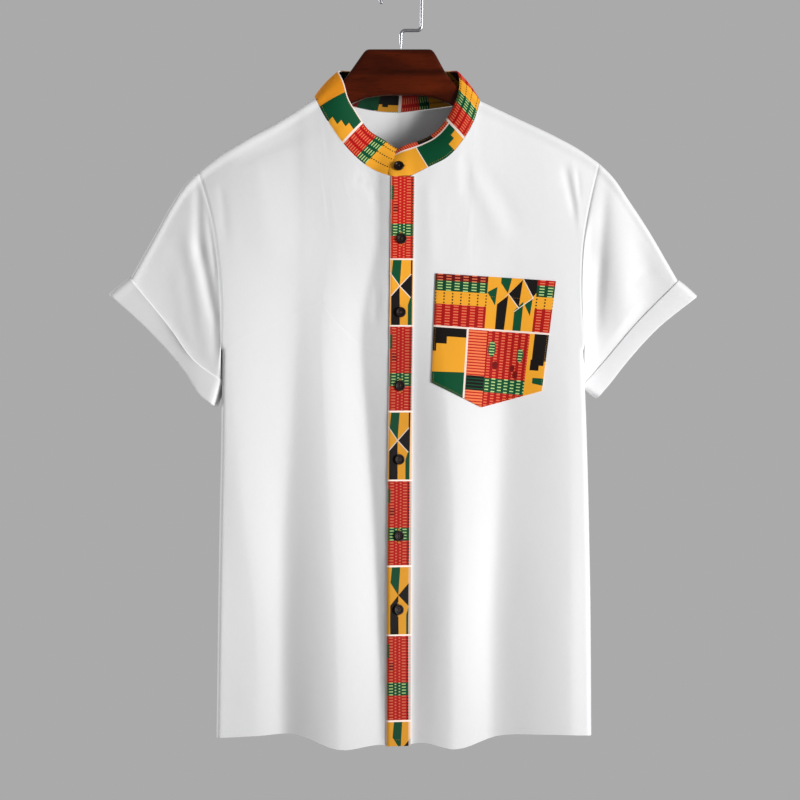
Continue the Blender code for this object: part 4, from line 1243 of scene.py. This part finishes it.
def pocket_print(tree, across, down):
    """The print over the pocket: a dashed band and a band of points above a white line, and stepped
    blocks with a striped and dashed middle below it. A faint shadow lies between the dashes'
    columns."""
    cloths = {}
    between = ((across - POCKET_START).steps(POCKET_COLUMN) > POCKET_DASH) * SHADOW
    for ground in ("red", "dark red", "green"):
        cloth = dashed(tree, across, down, ground, POCKET_COLUMN, POCKET_ROW, POCKET_DASH,
                       start=POCKET_START)
        cloths[ground] = painted(tree, cloth, between, "black")
    dots = (across.steps(POCKET_COLUMN) < 0.17) * (down.steps(3.4) < 0.5)
    gold = painted(tree, "gold", dots, "black")
    upper = painted(tree, cloths["red"], down < 7.4, cloths["dark red"])
    upper = painted(tree, upper, down.between(7.2, 18.6), cloths["green"])
    upper = painted(tree, upper, down.between(18.6, 33.0), gold)
    right = painted(tree, cloths["red"], down.between(6, 18.5), cloths["green"])
    right = painted(tree, right, down.between(18.5, 31.5), gold)
    whole = charted(tree, across, down, COLOURS["gold"], POCKET_CHART)
    whole = painted(tree, whole, (across < 56.0) * (down < 57.5), upper)
    whole = painted(tree, whole, (across > 108.8) * (down < 57.5), right)
    striped = painted(tree, "orange", down.steps(3.25) < 0.4, "red")
    dark_stripe = painted(tree, "black", down.steps(3.6) < 0.3, "green")
    striped = painted(tree, striped, down.between(109, 125), dark_stripe)
    middle = dashed(tree, across, down, "red", MIDDLE_COLUMN, POCKET_ROW, MIDDLE_DASH,
                    start=MIDDLE_START)
    between = ((across - MIDDLE_START).steps(MIDDLE_COLUMN) > MIDDLE_DASH) * SHADOW
    middle = painted(tree, middle, between, "black")
    for u, v, wide, high, ground in POCKET_SPOTS:
        out_u = ((across - u) * (1 / wide)).math("POWER", 2.0)
        out_v = ((down - v) * (1 / high)).math("POWER", 2.0)
        thread = DASH_COLOURS["green"] if ground == "green" else COLOURS["dark red"]
        first = u - wide * 0.7
        spot = dashed(tree, across, down, ground, wide * 2, POCKET_ROW, 0.7, start=first,
                      thread=thread)
        middle = painted(tree, middle, out_u + out_v < 1.0, spot)
    low_green = dashed(tree, across, down, "green", MIDDLE_COLUMN, 3.4, 0.6, start=MIDDLE_START)
    middle = painted(tree, middle, down.between(110.5, 126), low_green)
    middle = painted(tree, striped, across > 59.5, middle)
    whole = painted(tree, whole, across.between(38.6, 107.0) * (down > 57.5), middle)
    line = down.between(56.9, 58.9).most(across.between(36.5, 38.7) * (down > 57))
    return painted(tree, whole, line, "pale")


def pocket_net():
    """The pocket on the front's surface: a net between its five corners, moved out to lie on the
    cloth, fuller below its open upper edge. Its chart's distances run between its two sides and
    down from its upper edge, also past the line of its lower corners."""
    s = np.linspace(0, 1, POCKET_COLUMNS)[None, :, None]
    t = np.linspace(0, 1, POCKET_ROWS)[:, None, None]
    top_in, top_out, low_in, tip, low_out = (np.array(corner) for corner in POCKET.values())
    at_tip = (tip[0] - low_in[0]) / (low_out[0] - low_in[0])
    low = np.where(s < at_tip, low_in + (tip - low_in) * s / at_tip,
                   tip + (low_out - tip) * (s - at_tip) / (1 - at_tip))
    xz = (1 - t) * (top_in + (top_out - top_in) * s) + t * low
    x, z = xz[..., 0], xz[..., 1]
    level = np.zeros_like(x)
    for _ in range(6):
        left_x, right_x = (top[0] + (bottom[0] - top[0]) * level for top, bottom in
                           ((top_in, low_in), (top_out, low_out)))
        share = (x - left_x) / (right_x - left_x)
        upper, lower = (inner[1] + (outer[1] - inner[1]) * share for inner, outer in
                        ((top_in, top_out), (low_in, low_out)))
        level = (z - upper) / (lower - upper)
    uv = np.stack([share * POCKET_WIDE, level * POCKET_DEEP], axis=-1)
    s, t = s[..., 0], t[..., 0]
    over, down = np.sin(np.pi * s), np.sin(np.pi * t)
    full = POCKET_STAND * np.exp(-(t / POCKET_STAND_FADE)) * over + POCKET_FULL * over * down
    full = full + POCKET_WAVE * over * np.sin(2.3 + 9 * (s - 0.55 * t)) * down
    net = front_point(x, z)
    net = net + (POCKET_OUT + full)[..., None] * net_normals(net)
    return seam_edges(net, ["first", "last", "top", "bottom"]), uv


pocket_cloth = cloth_material("printed_pocket", chart=pocket_print, rumple=0.35, rough=0.6,
                              sheen=0.05)
pocket_shape, pocket_uv = pocket_net()
print_piece("shirt_pocket", pocket_shape, pocket_cloth, pocket_uv, "pocket", flat=(0.134, 0.149),
            area=0.0175, held="hung", rests_on=["shirt_front_left"])

# ---------------------------------------------------------------- buttons and buttonholes
# Seven dark four-hole buttons, turned from one blank with a round rim and a dished middle and sewn
# on with crossed thread, each through a stitched buttonhole.
BUTTON_RADIUS = 5.8
BUTTON_THICK = 2.6
BUTTON_FIRST_Z = -298.5
BUTTON_PITCH = 81.8
BUTTON_COUNT = 6
BUTTON_INSET = 1.6
BUTTON_DISH = 0.95
DISH_FROM = 0.5
DISH_OVER = 0.26
EDGE_ROUND = 1.3
EDGE_FROM = 0.86
EDGE_OVER = 0.14
HOLE_AT = 1.35
HOLE_RADIUS = 0.62
HOLE_DEEP = 1.5
HOLE_FLOOR = 0.75
HOLE_WALL = 0.45
POLE = 0.02
BUTTON_OFF = 0.45
BUTTON_THREAD = 0.17
THREAD_APART = 0.16
BUTTONHOLE_HALF = 6.9
BUTTONHOLE_THREAD = 0.22
BUTTONHOLE_BELOW = 0.35
COLLAR_BUTTON_AT = (-1.4, -217.4)
THREAD_RISE = np.array([-0.9, 0.1, 0.32, 0.1, -0.9])
UP = np.array([0.0, 0.0, 1.0])


def button_face(r, turn):
    """The height of a button's front at a radius and angle: a round rim, a dished middle and four
    holes, each a bell-shaped pit."""
    share = r / BUTTON_RADIUS
    rim = BUTTON_THICK - BUTTON_DISH * (1 - ease((share - DISH_FROM) / DISH_OVER))
    past_edge = np.clip((share - EDGE_FROM) / EDGE_OVER, 0, 1)
    edge = EDGE_ROUND * (1 - np.sqrt(1 - past_edge**2))
    x, y = r * np.cos(turn), r * np.sin(turn)
    pits = 0
    for angle in np.pi / 4 + np.arange(4) * np.pi / 2:
        apart = np.hypot(x - HOLE_AT * np.cos(angle), y - HOLE_AT * np.sin(angle))
        pits = pits + HOLE_DEEP * (1 - ease((apart / HOLE_RADIUS - HOLE_FLOOR) / HOLE_WALL))
    return rim - edge - np.minimum(pits, HOLE_DEEP)


def button_net():
    """A button's whole skin: rings out over its front, round the edge and in under its back."""
    turn = np.linspace(0, 2 * np.pi, 48, endpoint=False)[None, :]
    inner, outer = np.linspace(0.25, 2.6, 15), np.linspace(2.8, BUTTON_RADIUS, 16)
    r = np.concatenate([[POLE], inner, outer])[:, None]
    front = np.stack([r * np.cos(turn), r * np.sin(turn), button_face(r + 0 * turn, turn)], axis=-1)
    back_r = np.array([BUTTON_RADIUS, BUTTON_RADIUS - 0.25, BUTTON_RADIUS - 0.9, 3.0, POLE])[:, None]
    back_h = np.array([1.0, 0.45, 0.05, 0.0, 0.0])[:, None] + 0 * turn
    under = np.stack([back_r * np.cos(turn), back_r * np.sin(turn), back_h], axis=-1)
    return np.concatenate([front, under])


def facing(points, place, normal, up):
    """Points of a flat drawing, x across, y up and z out, set at a place on a surface."""
    normal = unit(normal)
    side = unit(np.cross(up, normal))
    above = np.cross(normal, side)
    return place + points[..., :1] * side + points[..., 1:2] * above + points[..., 2:] * normal


def rod_net(path, radius, sides=8):
    """A round rod along a path: a ring of points at each, square to the path, with the first and
    last rings drawn in to close the ends."""
    path = np.asarray(path, float)
    ahead = unit(np.gradient(path, axis=0))
    guide = (0.0, 1.0, 0.0) if abs(ahead[:, 1]).max() < 0.9 else (1.0, 0.0, 0.0)
    side = unit(np.cross(ahead, guide))
    other = np.cross(side, ahead)
    turn = np.linspace(0, 2 * np.pi, sides, endpoint=False)[None, :, None]
    thick = np.full(len(path), float(radius))
    thick[[0, -1]] *= 0.05
    ring = np.cos(turn) * side[:, None] + np.sin(turn) * other[:, None]
    return path[:, None] + thick[:, None, None] * ring


def joined_nets(name, nets, material):
    """Many small round nets of one size as one mesh."""
    nets = np.asarray(nets)
    index = np.arange(nets[..., 0].size).reshape(nets.shape[:3])
    beside = np.roll(index, -1, axis=2)
    faces = np.stack([index[:, :-1], beside[:, :-1], beside[:, 1:], index[:, 1:]], axis=-1)
    made = add_mesh(name, nets, faces, material)
    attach(made, "root")


def polished(name, dark, light, scale, rough, coat=0.0):
    """A polished solid: two near colours swirled by noise, with fine scuffs in its gloss."""
    made, tree, shader = new_material(name)
    where = tree.nodes.new("ShaderNodeTexCoord").outputs["Object"]
    swirl = noise(tree, where, scale, 4.0, Distortion=1.2)
    fine = noise(tree, where, scale * 9)
    bump = add_node(tree, "Bump", Strength=0.4, Distance=0.00004, Height=fine)
    feed(tree, shader, Base_Color=laid_over(tree, linear(*dark), linear(*light), swirl),
         Roughness=fine * 0.2 + (rough - 0.1), Normal=bump.outputs["Normal"], Specular_IOR_Level=0.2,
         Coat_Weight=coat, Coat_Roughness=0.08)
    return made


button_resin = polished("button_resin", (14, 7, 5), (34, 18, 12), 260.0, 0.36, 0.06)
thread_dark = polished("sewing_thread_dark", (60, 44, 36), (104, 84, 70), 900.0, 0.7)
thread_white = polished("sewing_thread_white", (222, 222, 226), (246, 246, 248), 900.0, 0.65)
thread_gold = polished("sewing_thread_gold", (206, 142, 48), (238, 178, 78), 900.0, 0.65)


def buttonhole(name, place, normal, up):
    """A worked buttonhole: small thread bars laid side by side round a slit, two rows with a bar
    across each end."""
    bars = [[(side * 0.25, step, 0.1), (side * 0.75, step, 0.34), (side * 1.25, step, 0.05)]
            for side in (-1, 1) for step in np.linspace(-BUTTONHOLE_HALF, BUTTONHOLE_HALF, 30)]
    bars += [[(-1.3, y, 0.05), (0, y, 0.4), (1.3, y, 0.05)]
             for end in (-1, 1) for y in end * (BUTTONHOLE_HALF + np.linspace(0.1, 1.0, 3))]
    nets = [rod_net(facing(np.array(bar), place, normal, up), BUTTONHOLE_THREAD, sides=5)
            for bar in bars]
    joined_nets(name, nets, thread_gold)


def sewn_button(label, place, normal, hole_up):
    """A button on its place with crossed thread through its holes, and the buttonhole beneath."""
    name = "shirt_button_" + label
    above = place + BUTTON_OFF * normal
    skin = facing(button_net(), above, normal, UP)
    made = net_piece(name, skin, button_resin, closed=True)
    made.data.flip_normals()
    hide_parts("button_" + label)
    h = BUTTON_THICK - BUTTON_DISH
    arm = HOLE_AT * 0.7071
    nets = []
    for sx, sy in ((1, 1), (1, -1)):
        for slip in (-THREAD_APART, THREAD_APART):
            ways = np.array([-1, -0.9, 0, 0.9, 1])
            path = np.stack([sx * arm * ways + slip, sy * arm * ways, h + THREAD_RISE], axis=-1)
            nets.append(rod_net(facing(path, above, normal, UP), BUTTON_THREAD, sides=6))
    joined_nets(name + "_thread", nets, thread_dark)
    buttonhole(name + "_hole", above - BUTTONHOLE_BELOW * normal, normal, hole_up)


def surface_at(net, x, z):
    """The nearest point of a net to x and z, seen from the front, and the net's normal there."""
    apart = np.hypot(net[..., 0] - x, net[..., 2] - z)
    row, column = np.unravel_index(np.argmin(apart), apart.shape)
    return net[row, column], net_normals(net)[row, column]


for number in range(BUTTON_COUNT):
    z = BUTTON_FIRST_Z - number * BUTTON_PITCH
    sewn_button(str(number + 1), *surface_at(placket_net, centre_line(z) - BUTTON_INSET, z), UP)
place, normal = surface_at(band_net[4:16, :60], *COLLAR_BUTTON_AT)
sewn_button("collar", place, normal, np.cross(band_net[3, 20] - band_net[12, 20], normal))

# ---------------------------------------------------------------- top stitching
# Lock stitching in fine thread, about ten stitches in 25 mm, along the collar, the placket, the
# pocket, the hem and the armholes. Each stitch is a short rod pulled into the cloth at its ends.
STITCH_PITCH = 2.5
STITCH_LONG = 1.9
STITCH_START = 0.6
STITCH_RISE = np.array([-0.1, 0.08, 0.08, -0.1])[None, :, None]
STITCH_RADIUS = 0.13
PLACKET_INSET = 1.6
COLLAR_INSET = 2.0
POCKET_INSET = 1.8
POCKET_HEM = 22.0
ARMHOLE_INSET = 3.2


def read_at(places, at, values):
    """The values at places along a line, of which each has its distance."""
    return np.stack([np.interp(places, at, values[:, k]) for k in range(values.shape[1])], axis=-1)


def stitch_run(line, normals):
    """Stitches along a line on a surface: evenly spaced by distance, each a rod of four points
    that rises a little out of the cloth in its middle."""
    at = distances(line)
    starts = np.arange(STITCH_START, at[-1] - STITCH_LONG, STITCH_PITCH)
    places = starts[:, None] + STITCH_LONG * np.array([0.0, 0.25, 0.75, 1.0])
    paths = read_at(places, at, line) + STITCH_RISE * read_at(places, at, normals)
    return [rod_net(path, STITCH_RADIUS, sides=4) for path in paths]


def edge_line(net, edge, inset):
    """The line that runs a distance in from one edge of a net, and the normals along it."""
    both = np.concatenate([net, net_normals(net)], axis=-1)
    if edge in ("first", "last"):
        net, both = net.swapaxes(0, 1), both.swapaxes(0, 1)
    far = run_length(net, 0)
    if edge in ("last", "bottom"):
        far, both = (far[-1:] - far)[::-1], both[::-1]
    line = np.concatenate([read_at([inset], far[:, c], both[:, c]) for c in range(net.shape[1])])
    return line[:, :3], line[:, 3:]


STITCH_LINES = {
    # seam: net, the edge that it follows and the distance in from it
    "placket": [(placket_net, "first", PLACKET_INSET), (placket_net, "last", PLACKET_INSET),
                (placket_net, "bottom", HEM_TURN)],
    "collar": [(band_net, "top", COLLAR_INSET), (band_net, "bottom", COLLAR_INSET)],
    "pocket": [(pocket_shape, "first", POCKET_INSET), (pocket_shape, "last", POCKET_INSET),
               (pocket_shape, "bottom", POCKET_INSET), (pocket_shape, "top", POCKET_HEM)],
    "hem": [(net, "bottom", HEM_TURN - 0.5) for net in (right_net, left_net, back_net)],
    "armholes": [(right_net, "first", ARMHOLE_INSET), (left_net, "last", ARMHOLE_INSET),
                 (back_net, "first", ARMHOLE_INSET), (back_net, "last", ARMHOLE_INSET)],
}
for name, lines in STITCH_LINES.items():
    kept = slice(2, len(ARMHOLE_ROWS)) if name == "armholes" else slice(None)
    stitches = []
    for net, edge, inset in lines:
        line, normals = edge_line(net, edge, inset)
        stitches += stitch_run(line[kept], normals[kept])
    on_white = name in ("hem", "armholes")
    joined_nets("shirt_stitching_" + name, stitches, thread_white if on_white else thread_gold)

# ---------------------------------------------------------------- the wooden hanger
# A contoured hanger of reddish hardwood, shaped from one board, rounded over and varnished: a wide
# block at the neck and two arms that carry the shoulders.
WOOD_HALF_THICK = 9.0
WOOD_SQUARE = 0.42
WOOD_END_SINK = 5.0
WOOD_SINK_OVER = 0.05
WOOD_END_THINNER = 0.55
WOOD_THIN_OVER = 0.1
NECK_BLOCK_HALF = 52.0
NECK_BLOCK_FADE = 32.0
WOOD_TOP_Z = -84.1
WOOD_END = {-1: -206.0, 1: 203.0}
WOOD_UNDER_CLOTH = 2.2
NECK_BLOCK_END = {-1: -112.0, 1: 106.0}
WOOD_STATIONS = [
    # share of the way out to the arm's end, height of the wood there
    (0.0, 29.0), (0.4, 29.0), (0.55, 28.0), (0.7, 26.5), (0.85, 25.0), (0.95, 22.0), (0.985, 17.0),
    (1.0, 9.0),
]
WOOD_UNDER = [(-70, -156.0), (-60, -148.5), (-48, -142.5), (-30, -137.5), (0, -135.6), (30, -137.5),
              (48, -142.5), (60, -148.5), (70, -156.0)]
NECK_BLOCK = {-1: [(0, -84.1), (-39.3, -84.1), (-60.5, -114.4), (-76, -129.5), (-97, -147)],
              1: [(0, -84.1), (35.6, -84.1), (50.4, -111.6), (61, -123.6), (76, -138), (89, -150)]}

WOOD_TONES = [(0.28, (42, 9, 2)), (0.5, (70, 20, 3)), (0.72, (100, 33, 6))]


def wood_top(x, sign):
    """The top of the wood: the neck block's outline, then just under the shoulder's cloth."""
    side = RIGHT_SIDE if sign < 0 else LEFT_SIDE
    end_x = NECK_BLOCK_END[sign]
    block_end = (end_x, height_on(side["shoulder"], end_x) - WOOD_UNDER_CLOTH)
    line = np.array(sorted(NECK_BLOCK[sign] + [block_end]))
    neck = np.interp(x, line[:, 0], line[:, 1])
    return np.where(np.abs(x) < abs(end_x), neck, height_on(side["shoulder"], x) - WOOD_UNDER_CLOTH)


def wood_net():
    """The hanger as a loft of sections from one arm's end to the other, each a rounded oblong: both
    its coordinates are the cosine and sine of the turn raised to a power below one."""
    turn = np.linspace(0, 2 * np.pi, 48, endpoint=False)
    ring_y, ring_z = (np.sign(way) * np.abs(way) ** WOOD_SQUARE
                      for way in (np.cos(turn), np.sin(turn)))
    stations = curve(np.array(WOOD_STATIONS), np.linspace(0, 1, 900))
    shares = np.concatenate([np.linspace(0, 0.93, 88),
                             1 - 0.07 * (1 - np.linspace(0, 1, 20)[1:]) ** 2])
    thick = WOOD_HALF_THICK * (1 - WOOD_END_THINNER * ease(1 - (1 - shares) / WOOD_THIN_OVER))
    sink = WOOD_END_SINK * (1 - ease((1 - shares) / WOOD_SINK_OVER))
    sections = []
    for sign in (-1, 1):
        x = WOOD_END[sign] * shares
        top = smoothed(wood_top(x, sign), 2)
        arm = ease((np.abs(x) - NECK_BLOCK_HALF) / NECK_BLOCK_FADE)
        heights = arm * np.interp(shares, stations[:, 0], stations[:, 1])
        heights = smoothed(heights + (1 - arm) * (top - height_on(WOOD_UNDER, x)), 2)
        centre = top - heights / 2 - sink
        ring = np.stack([x[:, None] + 0 * ring_y, thick[:, None] * ring_y,
                         centre[:, None] + heights[:, None] / 2 * ring_z], axis=-1)
        sections.append(ring if sign > 0 else ring[:0:-1])
    net = np.concatenate(sections)
    first, last = (end.mean(axis=1, keepdims=True) * 0.98 + 0.02 * end for end in (net[:1], net[-1:]))
    return np.concatenate([first, net, last])


def varnished_wood():
    """Reddish hardwood under varnish: long figure along the board from stretched noise, fine dark
    pores, and a clear coat."""
    made, tree, shader = new_material("varnished_hardwood")
    where = tree.nodes.new("ShaderNodeTexCoord").outputs["Object"]
    along_board = add_node(tree, "Mapping", Vector=where, Scale=(6.0, 40.0, 46.0),
                           Rotation=(0.0, 0.04, 0.0))
    figure = noise(tree, along_board.outputs["Vector"], 1.0, 6.0, Distortion=0.9)
    in_pores = add_node(tree, "Mapping", Vector=where, Scale=(60.0, 900.0, 900.0))
    pore = noise(tree, in_pores.outputs["Vector"], 1.0)
    ramp = add_node(tree, "ValToRGB", Fac=figure)
    stops = ramp.color_ramp.elements
    stops.new(0.5)
    for stop, (position, colour) in zip(stops, WOOD_TONES):
        stop.position = position
        stop.color = linear(*colour)
    bump = add_node(tree, "Bump", Strength=0.25, Distance=0.0001, Height=pore)
    feed(tree, shader, Base_Color=shaded(tree, ramp.outputs["Color"], (pore > 0.62) * -0.35 + 1.0),
         Roughness=figure * 0.16 + 0.2, Normal=bump.outputs["Normal"], Specular_IOR_Level=0.1,
         Coat_Weight=0.07, Coat_Roughness=0.1)
    return made


wood = net_piece("hanger_wood_body", wood_net(), varnished_wood(), closed=True)
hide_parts("hanger_wood")

# ---------------------------------------------------------------- the wire hook
# One length of 4 mm wire, bright chrome plated, screwed into the middle of the wood: up, across in a
# crank, then up and round in an open hook.
WIRE_RADIUS = 2.0
WIRE_SUNK = 3.0
HOOK_RADIUS = 24.0
HOOK_DROP = 22.0
HOOK_TURN = (-14.0, 208.0)
CRANK_Z = -62.8
CRANK_X = 23.0
CRANK_ROUND = 5.0


def hook_line():
    """The wire's middle line: two upright runs joined by a level one with a quarter turn at each
    bend, then an arc of the hook's radius to its free end."""
    quarter = np.linspace(0, np.pi / 2, 12)
    r = CRANK_ROUND
    low = [(0, WOOD_TOP_Z - WIRE_SUNK), (0, (WOOD_TOP_Z + CRANK_Z) / 2)]
    first = np.stack([r - r * np.cos(quarter), CRANK_Z - r + r * np.sin(quarter)], axis=-1)
    second = np.stack([CRANK_X - r + r * np.sin(quarter), CRANK_Z + r - r * np.cos(quarter)], axis=-1)
    turn = np.radians(np.linspace(*HOOK_TURN, 90))
    arc = np.stack([HOOK_RADIUS * np.cos(turn), HOOK_RADIUS * np.sin(turn) - HOOK_DROP], axis=-1)
    flat = np.concatenate([low, first, second, arc])
    return np.stack([flat[:, 0], 0 * flat[:, 0], flat[:, 1]], axis=-1)


def chrome():
    """Bright plated wire: a near-white metal with faint darker and duller patches."""
    made, tree, shader = new_material("chrome_wire")
    dull = noise(tree, tree.nodes.new("ShaderNodeTexCoord").outputs["Object"], 140.0, 3.0)
    plate = shaded(tree, linear(196, 197, 202), dull * 0.12 + 0.86)
    feed(tree, shader, Metallic=1.0, Base_Color=plate, Roughness=dull * 0.1 + 0.27)
    return made


wire_net = rod_net(hook_line(), WIRE_RADIUS, sides=20)
wire = net_piece("hanger_wire_hook", wire_net, chrome(), closed=True)
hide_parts("hanger_hook")

# ---------------------------------------------------------------- floor, light and camera
# The shirt hangs in a plain pale room: a matt floor below it, an even grey wall behind, a darker one
# in front, and one large soft lamp level with it on the wearer's left, with a weak one behind.
FLOOR_Z = -1150.0
FLOOR_HALF = 2000.0
FRONT_WALL = linear(132, 132, 132)
BACK_WALL = linear(170, 170, 170)
BACK_WALL_FROM = 0.1
BACK_WALL_FADE = 1.7
floor_paint, floor_tree, floor_shader = new_material("floor_paint")
feed(floor_tree, floor_shader, Base_Color=linear(196, 196, 196), Roughness=0.9)
corners = np.array([(-1, -1, 0), (1, -1, 0), (1, 1, 0), (-1, 1, 0)]) * FLOOR_HALF + (0, 0, FLOOR_Z)
add_mesh("floor", corners, [0, 1, 2, 3], floor_paint)

world = bpy.data.worlds.new("room")
world.use_nodes = True
sky = world.node_tree
bearing = sky.nodes.new("ShaderNodeTexCoord").outputs["Generated"]
split = add_node(sky, "SeparateXYZ", Vector=bearing)
backward = (Field(sky, split.outputs["Y"]) - BACK_WALL_FROM) * BACK_WALL_FADE
walls = laid_over(sky, FRONT_WALL, BACK_WALL, backward.most(0.0).least(1.0))
feed(sky, sky.nodes["Background"], Color=walls, Strength=1.0)
bpy.context.scene.world = world
bpy.context.scene.view_settings.view_transform = "Standard"


def lamp(name, place, aim, wide, high, watts):
    """A soft rectangular lamp at a place, facing a point."""
    light = bpy.data.lights.new(name, "AREA")
    light.shape = "RECTANGLE"
    light.size = wide
    light.size_y = high
    light.energy = watts
    made = bpy.data.objects.new(name, light)
    bpy.context.scene.collection.objects.link(made)
    made.location = place
    made.rotation_euler = (Vector(aim) - Vector(place)).to_track_quat("-Z", "Y").to_euler()


CHEST = (0.0, 0.0, -0.45)
lamp("key_lamp", (8.3, -6.6, -0.3), CHEST, 3.8, 4.6, 1235.0)
lamp("edge_lamp", (-5.0, 1.2, 0.0), CHEST, 2.0, 2.0, 120.0)

camera = bpy.data.cameras.new("camera")
camera.sensor_width = 36.0
camera.lens = 160.7
eye = bpy.data.objects.new("camera", camera)
bpy.context.scene.collection.objects.link(eye)
eye.location = (-0.00112, -4.0, -0.4767)
eye.rotation_euler = (np.pi / 2, 0.0, 0.0)
bpy.context.scene.camera = eye
